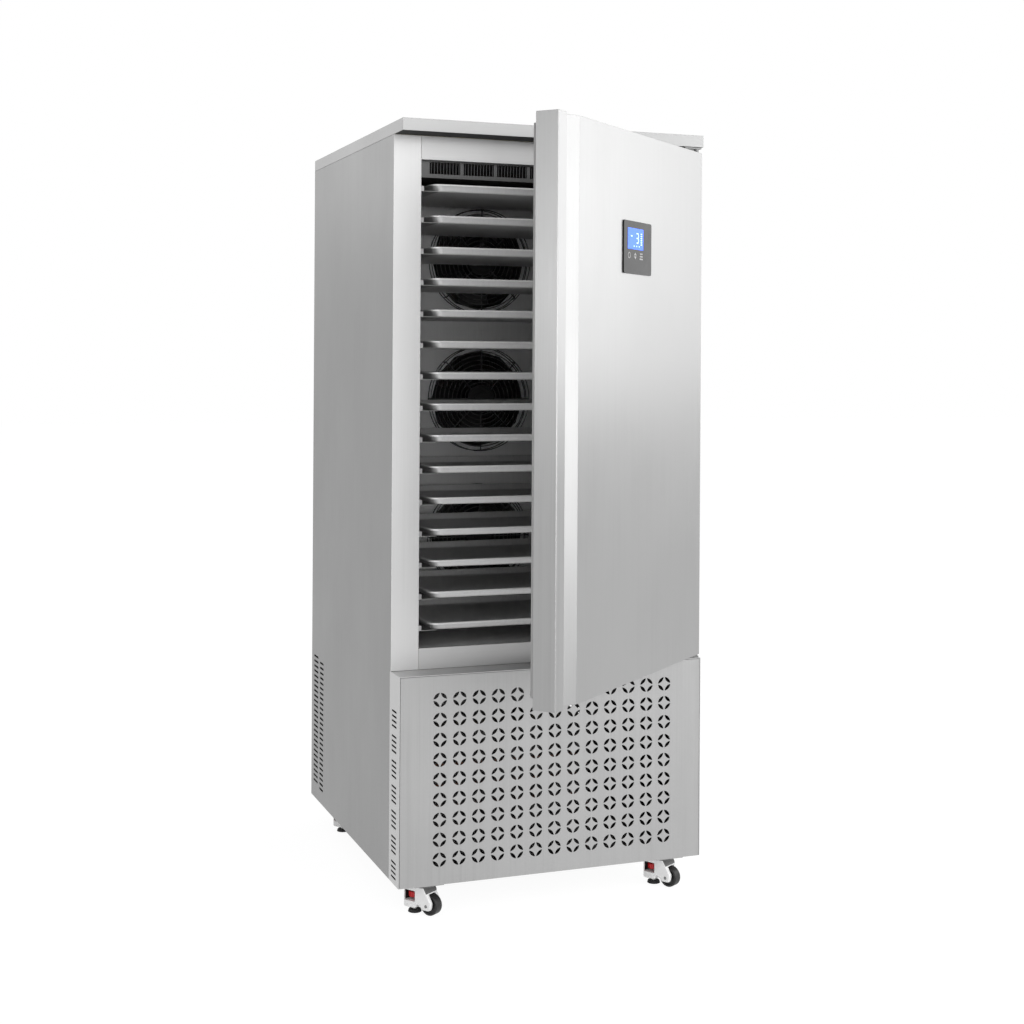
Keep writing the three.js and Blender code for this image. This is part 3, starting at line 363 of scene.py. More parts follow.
    def moved(self, change: Matrix) -> "Workpiece":
        """Carries the whole piece by a matrix."""
        self.obj.matrix_world = change @ self.obj.matrix_world
        return self.settle()

    def shifted(self, step: Sequence[float]) -> "Workpiece":
        """Carries the whole piece by a step."""
        return self.moved(Matrix.Translation(Vector(step)))

    def twin(self, name: str) -> "Workpiece":
        """A copy with a mesh of its own.

        Args:
            name: The copy's name.

        Returns:
            The copy.
        """
        obj = self.obj.copy()
        obj.data = self.obj.data.copy()
        bpy.context.scene.collection.objects.link(obj)
        return Workpiece(name, obj)

    def absorb(self, others: Sequence["Workpiece"]) -> "Workpiece":
        """Joins other pieces into this one.

        Args:
            others: Pieces that end in this one.

        Returns:
            This piece.
        """
        self.hold()
        for other in others:
            other.obj.select_set(True)
        bpy.ops.object.join()
        return self

    # ------------------------------------------------------------------------- shaping
    def modify(self, kind: str, **settings: object) -> "Workpiece":
        """Adds a modifier with its settings and applies it.

        Args:
            kind: The modifier's type.
            **settings: Its settings.

        Returns:
            This piece.
        """
        self.hold()
        modifier = self.obj.modifiers.new(kind.title(), kind)
        for setting, value in settings.items():
            setattr(modifier, setting, value)
        bpy.ops.object.modifier_apply(modifier=modifier.name)
        return self

    def softened(
        self, width: float, segments: int = 2, sharper_than: float = 35.0
    ) -> "Workpiece":
        """Rounds every edge that is sharper than an angle in degrees.

        Args:
            width: How far a rounding reaches.
            segments: Faces across it.
            sharper_than: The angle.

        Returns:
            This piece.
        """
        return self.modify(
            "BEVEL",
            width=width,
            segments=segments,
            limit_method="ANGLE",
            angle_limit=math.radians(sharper_than),
            use_clamp_overlap=True,
            harden_normals=False,
        )

    def thickened(self, sheet: float, offset: float = -1.0) -> "Workpiece":
        """Gives an open skin the thickness of its sheet."""
        return self.modify("SOLIDIFY", thickness=sheet, offset=offset, use_even_offset=True)

    def without(self, tool: "Workpiece") -> "Workpiece":
        """Cuts another piece out of this one and throws the tool away."""
        self.modify("BOOLEAN", operation="DIFFERENCE", solver="EXACT", object=tool.obj)
        bpy.data.objects.remove(tool.obj)
        return self

    def repeated(self, count: int, step: Sequence[float], merge: float = 0.0) -> "Workpiece":
        """Repeats the piece in a row.

        Args:
            count: How many there are in the end.
            step: From one to the next.
            merge: Corners closer than this are joined; zero joins none.

        Returns:
            This piece.
        """
        return self.modify(
            "ARRAY",
            count=count,
            use_relative_offset=False,
            use_constant_offset=True,
            constant_offset_displace=step,
            use_merge_vertices=merge > 0,
            merge_threshold=merge,
        )

    def turned_over(self) -> "Workpiece":
        """Points every face the other way.

        Returns:
            This piece.
        """
        with self.worked():
            bpy.ops.mesh.select_all(action="SELECT")
            bpy.ops.mesh.flip_normals()
        return self

    def raised(self, step: Sequence[float]) -> "Workpiece":
        """Fills a traced outline and draws it out into a closed solid.

        Args:
            step: From the outline to the far side.

        Returns:
            This piece.
        """
        with self.worked():
            bpy.ops.mesh.select_mode(type="EDGE")
            bpy.ops.mesh.select_all(action="SELECT")
            bpy.ops.mesh.edge_face_add()
            bpy.ops.mesh.extrude_region_move(TRANSFORM_OT_translate={"value": step})
            bpy.ops.mesh.select_all(action="SELECT")
            bpy.ops.mesh.normals_make_consistent(inside=False)
        return self

    def facing_out(self) -> "Workpiece":
        """Merges doubles and turns the faces of a closed shape outwards.

        Returns:
            This piece.
        """
        with self.worked():
            bpy.ops.mesh.select_all(action="SELECT")
            bpy.ops.mesh.remove_doubles(threshold=0.005 * MM)
            bpy.ops.mesh.normals_make_consistent(inside=False)
        return self

    def smooth(self, below: float = 35.0) -> "Workpiece":
        """Shades faces that meet below an angle as one surface, led by the large ones."""
        self.hold()
        bpy.ops.object.shade_smooth_by_angle(angle=math.radians(below))
        return self.modify("WEIGHTED_NORMAL", mode="FACE_AREA", keep_sharp=True)

    # ----------------------------------------------------------------------- finishing
    def dress(self, finish: "Finish", body: str, replaces: Sequence[str] = ()) -> "Workpiece":
        """Gives the piece its material, its body and the nodes that it stands for.

        Args:
            finish: What it is made of.
            body: The body that it rides on.
            replaces: Nodes that it stands for.

        Returns:
            This piece.
        """
        self.obj.data.materials.clear()
        self.obj.data.materials.append(finish.material())
        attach(self.obj, body)
        if replaces:
            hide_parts(*replaces)
        LOG.info("%s rides on %s in %s", self.obj.name, body, finish.slot)
        return self


def swept_frame(name: str, centre: Vector, half: Point, section: Sequence[Point]) -> Workpiece:
    """A closed section carried round an upright rectangle, mitred at its corners.

    Args:
        name: The piece's name.
        centre: Middle of the rectangle, at the section's zero depth.
        half: Half of the rectangle's width and height.
        section: Points of the section: inset from the rectangle, and depth along +Y.

    Returns:
        The closed ring.
    """
    across, up = half
    put_down_all()
    bpy.ops.mesh.primitive_plane_add(size=1, location=centre, rotation=Axis.Y.value)
    ring = Workpiece(name)
    ring.obj.scale = (2 * across, 2 * up, 1)
    ring.settle()
    with ring.worked():
        bpy.ops.mesh.select_all(action="SELECT")
        bpy.ops.mesh.delete(type="ONLY_FACE")
        bpy.ops.mesh.select_mode(type="EDGE")
        bpy.ops.mesh.select_all(action="SELECT")
        for here, there in zip(section, section[1:]):
            bpy.ops.mesh.extrude_edges_move(
                TRANSFORM_OT_translate={"value": (0, there[1] - here[1], 0)}
            )
            shrink = (
                (across - there[0]) / (across - here[0]),
                1,
                (up - there[0]) / (up - here[0]),
            )
            bpy.ops.transform.resize(value=shrink, center_override=centre)
        ring.pick(Part.EDGE, lambda edge: edge.is_boundary)
        bpy.ops.mesh.bridge_edge_loops()
    return ring.facing_out()


# ----------------------------------------------------------------------------- finishes
class Recipe:
    """Node tree of one finish, put together step by step."""

    def __init__(self, name: str) -> None:
        """Starts a material with its shader and the object's own coordinates.

        Args:
            name: The material's name.
        """
        self.material = bpy.data.materials.new(name)
        self.material.use_nodes = True
        tree = self.material.node_tree
        self.nodes, self.links = tree.nodes, tree.links
        self.shader = self.nodes["Principled BSDF"]
        self.place = self.nodes.new("ShaderNodeTexCoord").outputs["Object"]

    def fixed(self, **values: object) -> None:
        """Sets constant values on the shader's own sockets."""
        for socket, value in values.items():
            self.shader.inputs[socket.replace("_", " ")].default_value = value

    def noise(self, scale: Sequence[float], detail: float = 3.0, rough: float = 0.5) -> Socket:
        """Noise with its own frequency along each axis, in cycles for each metre.

        Args:
            scale: Cycles for each metre.
            detail: Number of octaves.
            rough: Weight of the fine ones.

        Returns:
            The noise, from 0 to 1.
        """
        mapping = self.nodes.new("ShaderNodeMapping")
        mapping.inputs["Scale"].default_value = scale
        texture = self.nodes.new("ShaderNodeTexNoise")
        texture.inputs["Scale"].default_value = 1.0
        texture.inputs["Detail"].default_value = detail
        texture.inputs["Roughness"].default_value = rough
        self.links.new(self.place, mapping.inputs["Vector"])
        self.links.new(mapping.outputs["Vector"], texture.inputs["Vector"])
        return texture.outputs["Fac"]

    def speckle(self, scale: float) -> Socket:
        """Distance to the nearest point of a cell pattern.

        Args:
            scale: Cells for each metre.

        Returns:
            The distance.
        """
        texture = self.nodes.new("ShaderNodeTexVoronoi")
        texture.inputs["Scale"].default_value = scale
        self.links.new(self.place, texture.inputs["Vector"])
        return texture.outputs["Distance"]

    def mixed(self, first: Socket, second: Socket, share: float) -> Socket:
        """A weighted sum of two values; share is the weight of the second.

        Args:
            first, second: The values.
            share: Weight of the second.

        Returns:
            The sum.
        """
        node = self.nodes.new("ShaderNodeMix")
        node.inputs["Factor"].default_value = share
        self.links.new(first, node.inputs["A"])
        self.links.new(second, node.inputs["B"])
        return node.outputs["Result"]

    def ranged(self, value: Socket, low: float, high: float, start: float, end: float) -> Socket:
        """Carries the values from low to high over to start to end, and holds them there.

        Args:
            value: What is carried over.
            low, high: Its range.
            start, end: The new range.

        Returns:
            The new value.
        """
        node = self.nodes.new("ShaderNodeMapRange")
        for socket, number in (
            ("From Min", low),
            ("From Max", high),
            ("To Min", start),
            ("To Max", end),
        ):
            node.inputs[socket].default_value = number
        self.links.new(value, node.inputs["Value"])
        return node.outputs["Result"]

    def coloured(self, value: Socket, stops: Sequence[tuple[float, Colour]]) -> Socket:
        """A colour that runs through stops as a value grows.

        Args:
            value: What grows.
            stops: Places and colours.

        Returns:
            The colour.
        """
        node = self.nodes.new("ShaderNodeValToRGB")
        elements = node.color_ramp.elements
        while len(elements) < len(stops):
            elements.new(0.5)
        for element, (place, colour) in zip(elements, stops):
            element.position = place
            element.color = colour
        self.links.new(value, node.inputs["Fac"])
        return node.outputs["Color"]

    def feed(self, socket: str, value: Socket) -> None:
        """Leads a value into one of the shader's sockets."""
        self.links.new(value, self.shader.inputs[socket])

    def relief(self, height: Socket, depth: float, strength: float = 1.0) -> None:
        """Adds a bump of a real depth.

        Args:
            height: The bump's shape, from 0 to 1.
            depth: Its depth in metres.
            strength: How much of it shows.
        """
        node = self.nodes.new("ShaderNodeBump")
        node.inputs["Strength"].default_value = strength
        node.inputs["Distance"].default_value = depth
        self.links.new(height, node.inputs["Height"])
        self.feed("Normal", node.outputs["Normal"])


@dataclass(frozen=True)
class Finish:
    """A named finish of the real object; each kind knows its own material."""

    name: str
    slot: str

    def material(self) -> bpy.types.Material:
        """The finish's material, made the first time that it is asked for."""
        title = f"{self.name}_finish"
        return bpy.data.materials.get(title) or self.mixture(Recipe(title))

    def mixture(self, recipe: Recipe) -> bpy.types.Material:
        """Fills a recipe with this finish's colours and textures."""
        raise NotImplementedError


@dataclass(frozen=True)
class BrushedSteel(Finish):
    """Stainless sheet with a satin brushed grain, faint streaks and wiped patches."""

    tone: float = 205.0
    roughness: float = 0.34
    grain: Axis = Axis.Z
    contrast: float = 0.05
    metallic: float = 0.92

    FINE = 520.0
    WIDE = 110.0
    ALONG = 2.4

    def stretched(self, frequency: float) -> list[float]:
        """Frequencies that draw noise out along the grain."""
        scale = [frequency] * 3
        scale[list(Axis).index(self.grain)] = self.ALONG
        return scale

    def mixture(self, recipe: Recipe) -> bpy.types.Material:
        """Grain in colour, gloss and relief, with a slow unevenness over the sheet.

        Args:
            recipe: The empty recipe.

        Returns:
            The finished material.
        """
        fine = recipe.noise(self.stretched(self.FINE), 4.0, 0.65)
        wide = recipe.noise(self.stretched(self.WIDE), 3.0, 0.6)
        grain = recipe.mixed(fine, wide, 0.4)
        wiped = recipe.noise((3.1, 3.1, 2.2), 4.0, 0.6)
        look = recipe.mixed(grain, wiped, 0.3)
        base = grey(self.tone)
        stops = (
            (0.3, shaded(base, 1 - 2 * self.contrast)),
            (0.5, base),
            (0.7, shaded(base, 1 + self.contrast)),
        )
        recipe.feed("Base Color", recipe.coloured(look, stops))
        gloss = recipe.mixed(grain, wiped, 0.45)
        swing = 0.09
        low, high = self.roughness - swing, self.roughness + swing
        recipe.feed("Roughness", recipe.ranged(gloss, 0.3, 0.7, low, high))
        recipe.relief(grain, 0.05 * MM, 0.6)
        recipe.fixed(Metallic=self.metallic)
        return recipe.material


@dataclass(frozen=True)
class CastMetal(Finish):
    """Rolled or cast metal without a grain: fins, tubes, screws and brackets."""

    colour: Colour = grey(160)
    roughness: float = 0.42
    metallic: float = 0.9

    def mixture(self, recipe: Recipe) -> bpy.types.Material:
        """Mottled colour and gloss with a fine pitted surface.

        Args:
            recipe: The empty recipe.

        Returns:
            The finished material.
        """
        mottle = recipe.noise((60.0, 60.0, 60.0), 5.0, 0.6)
        pits = recipe.noise((900.0, 900.0, 900.0), 2.0)
        stops = ((0.3, shaded(self.colour, 0.8)), (0.7, shaded(self.colour, 1.12)))
        recipe.feed("Base Color", recipe.coloured(mottle, stops))
        low, high = self.roughness - 0.08, self.roughness + 0.1
        recipe.feed("Roughness", recipe.ranged(mottle, 0.3, 0.7, low, high))
        recipe.relief(pits, 0.04 * MM, 0.5)
        recipe.fixed(Metallic=self.metallic)
        return recipe.material


@dataclass(frozen=True)
class Moulded(Finish):
    """Moulded plastic, rubber or paint with a fine sparkle and slight unevenness."""

    colour: Colour = grey(30)
    roughness: float = 0.5
    grain_size: float = 0.7 * MM
    grain_depth: float = 0.05 * MM
    unevenness: float = 0.1

    def mixture(self, recipe: Recipe) -> bpy.types.Material:
        """A spark-eroded texture under a slow change of colour and gloss.

        Args:
            recipe: The empty recipe.

        Returns:
            The finished material.
        """
        skin = recipe.noise((1 / self.grain_size,) * 3, 2.0, 0.6)
        slow = recipe.noise((24.0, 24.0, 24.0), 4.0, 0.55)
        look = recipe.mixed(slow, skin, 0.3)
        stops = (
            (0.3, shaded(self.colour, 1 - self.unevenness)),
            (0.7, shaded(self.colour, 1 + self.unevenness)),
        )
        recipe.feed("Base Color", recipe.coloured(look, stops))
        low, high = self.roughness - 0.07, self.roughness + 0.07
        recipe.feed("Roughness", recipe.ranged(look, 0.35, 0.65, low, high))
        recipe.relief(skin, self.grain_depth, 0.7)
        recipe.fixed(Metallic=0.0)
        return recipe.material


@dataclass(frozen=True)
class Foam(Finish):
    """Rigid insulation foam with open cells."""

    def mixture(self, recipe: Recipe) -> bpy.types.Material:
        """Cells in relief over a yellowish body.

        Args:
            recipe: The empty recipe.

        Returns:
            The finished material.
        """
        cells = recipe.speckle(650.0)
        slow = recipe.noise((18.0, 18.0, 18.0), 4.0)
        warm = linear(217, 207, 164)
        recipe.feed("Base Color", recipe.coloured(slow, ((0.3, shaded(warm, 0.8)), (0.7, warm))))
        recipe.relief(cells, 0.6 * MM)
        recipe.fixed(Roughness=0.92, Metallic=0.0)
        return recipe.material


@dataclass(frozen=True)
class Glass(Finish):
    """Smooth glass over a dark print, with the faint ripple of float glass."""

    colour: Colour = grey(8)

    def mixture(self, recipe: Recipe) -> bpy.types.Material:
        """Dark body, high gloss and a few wiped patches.

        Args:
            recipe: The empty recipe.

        Returns:
            The finished material.
        """
        ripple = recipe.noise((40.0, 40.0, 40.0), 2.0)
        wiped = recipe.noise((70.0, 70.0, 30.0), 5.0, 0.6)
        stops = ((0.35, self.colour), (0.7, shaded(self.colour, 1.6)))
        recipe.feed("Base Color", recipe.coloured(wiped, stops))
        recipe.feed("Roughness", recipe.ranged(wiped, 0.4, 0.75, 0.08, 0.2))
        recipe.relief(ripple, 0.02 * MM, 0.3)
        recipe.fixed(Metallic=0.0, Specular_IOR_Level=0.15)
        return recipe.material


@dataclass(frozen=True)
class Lit(Finish):
    """A surface that glows by itself, such as a display and its digits."""

    colour: Colour = grey(255)
    strength: float = 1.0

    def mixture(self, recipe: Recipe) -> bpy.types.Material:
        """Glow with a soft unevenness of the light behind it.

        Args:
            recipe: The empty recipe.

        Returns:
            The finished material.
        """
        slow = recipe.noise((28.0, 28.0, 28.0), 2.0)
        stops = ((0.3, shaded(self.colour, 0.86)), (0.7, self.colour))
        glow = recipe.coloured(slow, stops)
        recipe.feed("Base Color", glow)
        recipe.feed("Emission Color", glow)
        recipe.fixed(Emission_Strength=self.strength, Roughness=0.3, Metallic=0.0)
        return recipe.material


# painted shade: the side sheets' steel is set darker than the door's, for the sides that face away
# from the light
SIDE_STEEL_PAINTED_SHADE = BrushedSteel("side_steel", "side_steel", tone=138, roughness=0.4)
REAR_STEEL = BrushedSteel("rear_steel", "side_steel", tone=164, roughness=0.42)
BASE_STEEL = BrushedSteel("base_steel", "side_steel", tone=170, roughness=0.45, grain=Axis.X)
LID_STEEL = BrushedSteel("lid_steel", "lid_steel", tone=158, roughness=0.42, grain=Axis.X)
# painted light: the stile and rail steels are set lighter than the door's, so that the
# front-facing frame looks lit, the stiles also where the open door keeps light off them
STILE_STEEL_PAINTED_LIGHT = BrushedSteel("stile_steel", "frame_steel", tone=202, roughness=0.5)
RAIL_STEEL_PAINTED_LIGHT = BrushedSteel("rail_steel", "frame_steel", tone=190, roughness=0.5, grain=Axis.X)
BAY_STEEL = BrushedSteel("bay_steel", "frame_steel", tone=188, roughness=0.38, grain=Axis.X)
GRILLE_STEEL = BrushedSteel("grille_steel", "grille_steel", tone=168, roughness=0.42)
DOOR_STEEL = BrushedSteel("door_steel", "door_steel", tone=160, roughness=0.36)
# painted light: the chamber liner, the fan panel and the coil's tube sheets are set lighter and
# less metallic than the outer steel, for light inside the chamber
LINER_STEEL = BrushedSteel("liner_steel", "liner_steel", tone=214, roughness=0.4, metallic=0.6)
COVER_STEEL_PAINTED_LIGHT = BrushedSteel("cover_steel", "liner_steel", tone=248, roughness=0.5, metallic=0.2)
# painted shade: the duct's steel is set dark for the shade that the header casts over it
DUCT_STEEL_PAINTED_SHADE = BrushedSteel("duct_steel", "liner_steel", tone=88, roughness=0.44, grain=Axis.X)
DOOR_LINER_STEEL = BrushedSteel("door_liner_steel", "liner_steel", tone=196, roughness=0.38)
RUNNER_STEEL = BrushedSteel("runner_steel", "runner_steel", tone=165, grain=Axis.Y)
# painted light: the trays' tone is raised and their metal lowered to lift their front lips out of
# shade
TRAY_METAL_PAINTED_LIGHT = BrushedSteel(
    "tray_metal", "tray_aluminium", tone=216, roughness=0.58, contrast=0.08, metallic=0.7
)
HINGE_METAL = CastMetal("hinge_metal", "hinge_steel", grey(128), 0.4)
SCREW_METAL = CastMetal("screw_metal", "hinge_steel", grey(176), 0.3)
FIN_METAL = CastMetal("fin_metal", "fin_aluminium", grey(172), 0.46)
COPPER = CastMetal("copper_tube", "fin_aluminium", linear(184, 115, 78), 0.36)
MACHINE_PAINT = Moulded("machine_paint", "machine_black", grey(34), 0.42)
FAN_PLASTIC = Moulded("fan_plastic", "fan_plastic", grey(40), 0.48)
# painted light: the guard wire is set lighter than a black wire, for glints along the wires
GUARD_WIRE_PAINTED_LIGHT = Moulded("guard_wire", "fan_plastic", grey(92), 0.3, unevenness=0.15)
SHADOW_STRIP = Moulded("shadow_strip", "gasket_rubber", grey(24), 0.85)
# partly the rubber's own grey, partly painted light: the seal is set lighter to lift the shaded
# strip at the door's free edge
SEAL_RUBBER_PAINTED_LIGHT = Moulded("seal_rubber", "gasket_rubber", grey(166), 0.72)
CASTOR_SHELL = Moulded("castor_shell", "castor_plastic", grey(244), 0.46, unevenness=0.04)
# painted shade: near-black plates for the shade inside the castor housing, behind the dial's
# window
CASTOR_SHADE_PLATES = Moulded("castor_lining", "castor_plastic", grey(18), 0.7)
CASTOR_BRACKET = Moulded("castor_bracket", "castor_plastic", grey(92), 0.42)
TYRE = Moulded("tyre", "wheel_plastic", grey(14), 0.5)
WHEEL_HUB = Moulded("wheel_hub", "wheel_plastic", grey(70), 0.5)
PAD_RUBBER = Moulded("pad_rubber", "foot_plastic", grey(24), 0.8)
DIAL_PLASTIC = Moulded("dial_plastic", "foot_plastic", linear(190, 30, 34), 0.45)
FOAM = Foam("foam", "foam")
PANEL_GLASS = Glass("panel_glass", "panel_glass")
DISPLAY = Lit("display", "panel_glass", linear(10, 92, 250), 1.0)
DIGITS = Lit("digits", "panel_glass", linear(190, 226, 255), 1.2)
ICONS = Moulded("icons", "panel_glass", grey(150), 0.4)


# ------------------------------------------------------------------------------ cabinet
@dataclass(frozen=True)
class Cabinet:
    """Planes of the cabinet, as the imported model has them."""

    middle: float
    half_width: float
    front: float
    bay_top: float
    face: float
    lid_underside: float

    @classmethod
    def measured(cls) -> "Cabinet":
        """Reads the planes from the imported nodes.

        Returns:
            The planes.
        """
        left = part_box("left_side_panel")[0]
        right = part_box("right_side_panel")[1]
        return cls(
            middle=(left.x + right.x) / 2,
            half_width=(right.x - left.x) / 2,
            front=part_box("grille_panel")[0].y,
            bay_top=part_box("bay_surround")[1].z,
            face=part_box("left_stile")[0].y,
            lid_underside=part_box("top_lid")[0].z,
        )


@dataclass(frozen=True)
class Sheetwork:
    """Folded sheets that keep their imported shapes, with softened folds."""

    cabinet: Cabinet
    fold: float = 0.7 * MM
    cove: float = 9 * MM
    strip_gap: float = 0.3 * MM
    strip_sheet: float = 1.5 * MM

    SHEETS = (
        ("left_side_panel", SIDE_STEEL_PAINTED_SHADE),
        ("right_side_panel", SIDE_STEEL_PAINTED_SHADE),
        ("rear_panel", REAR_STEEL),
        ("top_lid", LID_STEEL),
        ("left_stile", STILE_STEEL_PAINTED_LIGHT),
        ("right_stile", STILE_STEEL_PAINTED_LIGHT),
        ("header_rail", RAIL_STEEL_PAINTED_LIGHT),
        ("sill_rail", RAIL_STEEL_PAINTED_LIGHT),
        ("bay_surround", BAY_STEEL),
        ("base_frame", BASE_STEEL),
        ("evaporator_cover", COVER_STEEL_PAINTED_LIGHT),
        ("ceiling_duct", DUCT_STEEL_PAINTED_SHADE),
        ("rack_left", RUNNER_STEEL),
        ("rack_right", RUNNER_STEEL),
        ("hinge_top", HINGE_METAL),
        ("hinge_bottom", HINGE_METAL),
    )

    def build(self) -> None:
        """Makes all sheets of the cabinet."""
        for node, finish in self.SHEETS:
            sheet = Workpiece.copy_of(f"{node}_sheet", node).softened(self.fold)
            sheet.smooth().dress(finish, "cabinet", [node])
        self.liner()
        self.lid_shade_strip()
        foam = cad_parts["insulation_core"]
        foam.data.materials.clear()
        foam.data.materials.append(FOAM.material())

    def liner(self) -> None:
        """Chamber liner with coved corners between its walls."""
        liner = Workpiece.copy_of("chamber_liner", "inner_liner")
        low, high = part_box("inner_liner")
        sheet = self.fold * 3

        def is_inner_corner(edge: bmesh.types.BMEdge) -> bool:
            """Whether an edge joins two inner walls.

            Args:
                edge: An edge of the liner.

            Returns:
                True for an inner corner.
            """
            inside = [
                low.x + sheet / 2 < end.co.x < high.x - sheet / 2
                and end.co.y < high.y - sheet / 2
                and low.z + sheet / 2 < end.co.z < high.z - sheet / 2
                for end in edge.verts
            ]
            return all(inside) and not all(end.co.y < low.y + sheet for end in edge.verts)

        with liner.worked():
            liner.pick(Part.EDGE, is_inner_corner)
            bpy.ops.mesh.bevel(offset=self.cove, segments=4, affect="EDGES")
        liner.smooth().dress(LINER_STEEL, "cabinet", ["inner_liner"])

    def lid_shade_strip(self) -> None:
        """Near-black strip in the hollow of the lid, over the door: painted shade for the shadow
        under the lid's front overhang.
        """
        low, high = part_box("top_lid")
        inset = 3 * MM
        rear = self.cabinet.face + self.strip_sheet
        strip = Workpiece.block(
            "lid_shade_strip",
            (low.x + inset, low.y + inset, low.z + self.strip_gap),
            (high.x - inset, rear, low.z + self.strip_gap + self.strip_sheet),
        )
        strip.softened(self.strip_sheet / 4).smooth().dress(SHADOW_STRIP, "cabinet")


@dataclass(frozen=True)
class Grille:
    """Front of the machine bay: a sheet pierced by rows of four-petalled flowers."""

    cabinet: Cabinet
    columns: int = 13
    rows: int = 9
    pitch_x: float = 49.6 * MM
    pitch_z: float = 48 * MM
    top_row: float = 60.5 * MM
    petal_radius: float = 13.2 * MM
    petal_length: float = 22 * MM
    petal_width: float = 8 * MM
    petals: int = 4
    sheet: float = 2 * MM
    arc_steps: int = 6
    joint: float = 0.02 * MM

    def petal_outline(self, angle: float) -> list[Point]:
        """Points of one lens-shaped hole, lying across its ray.

        Args:
            angle: The ray that it lies across.

        Returns:
            The points.
        """
        half, rise = self.petal_length / 2, self.petal_width / 2
        radius = (half**2 + rise**2) / (2 * rise)
        reach = math.asin(half / radius)
        points = []
        for side in (1, -1):
            for step in range(self.arc_steps):
                swing = reach * (1 - 2 * step / self.arc_steps)
                across = radius * math.sin(swing) * side
                out = self.petal_radius + side * (radius * math.cos(swing) - radius + rise)
                points.append(
                    (
                        out * math.cos(angle) - across * math.sin(angle),
                        out * math.sin(angle) + across * math.cos(angle),
                    )
                )
        return points

    def cell(self) -> Workpiece:
        """One square of the sheet with its flower, as a flat web of faces.

        Returns:
            The web.
        """
        half_x, half_z = self.pitch_x / 2, self.pitch_z / 2
        square = [(-half_x, -half_z), (half_x, -half_z), (half_x, half_z), (-half_x, half_z)]
        loops = [square] + [
            self.petal_outline((index + 0.5) * 2 * math.pi / self.petals)
            for index in range(self.petals)
        ]
        drawn = [
            Workpiece.traced(f"grille_loop_{index}", [(x, 0, z) for x, z in loop])
            for index, loop in enumerate(loops)
        ]
        web = drawn[0].absorb(drawn[1:])
        with web.worked():
            bpy.ops.mesh.select_mode(type="EDGE")
            bpy.ops.mesh.select_all(action="SELECT")
            bpy.ops.mesh.fill(use_beauty=True)
        return web

    def build(self) -> None:
        """Repeats the flower, draws the plain borders out and thickens the sheet."""
        low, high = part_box("grille_panel")
        panel = self.cell()
        panel.obj.name = "grille_sheet"
        panel.repeated(self.columns, (self.pitch_x, 0, 0), self.joint)
        panel.repeated(self.rows, (0, 0, -self.pitch_z), self.joint)
        first_x = self.cabinet.middle - (self.columns - 1) / 2 * self.pitch_x
        top = self.cabinet.bay_top - self.top_row
        panel.shifted((first_x, self.cabinet.front, top))
        field_left = first_x - self.pitch_x / 2
        field_right = self.cabinet.middle * 2 - field_left
        field_top = top + self.pitch_z / 2
        field_bottom = top - (self.rows - 0.5) * self.pitch_z
        with panel.worked():
            for axis, start, end in (
                ("x", field_left, low.x),
                ("x", field_right, high.x),
                ("z", field_bottom, low.z),
                ("z", field_top, high.z),
            ):
                panel.pick(
                    Part.EDGE,
                    lambda edge: edge.is_boundary
                    and all(abs(getattr(v.co, axis) - start) < NEAR for v in edge.verts),
                )
                step = Vector((0, 0, 0))
                setattr(step, axis, end - start)
                bpy.ops.mesh.extrude_edges_move(TRANSFORM_OT_translate={"value": step})
            bpy.ops.mesh.select_all(action="SELECT")
            bpy.ops.mesh.normals_make_consistent(inside=False)
        if panel.obj.data.polygons[0].normal.y > 0:
            panel.turned_over()
        panel.thickened(self.sheet)
        panel.smooth(30).dress(GRILLE_STEEL, "cabinet", ["grille_panel"])


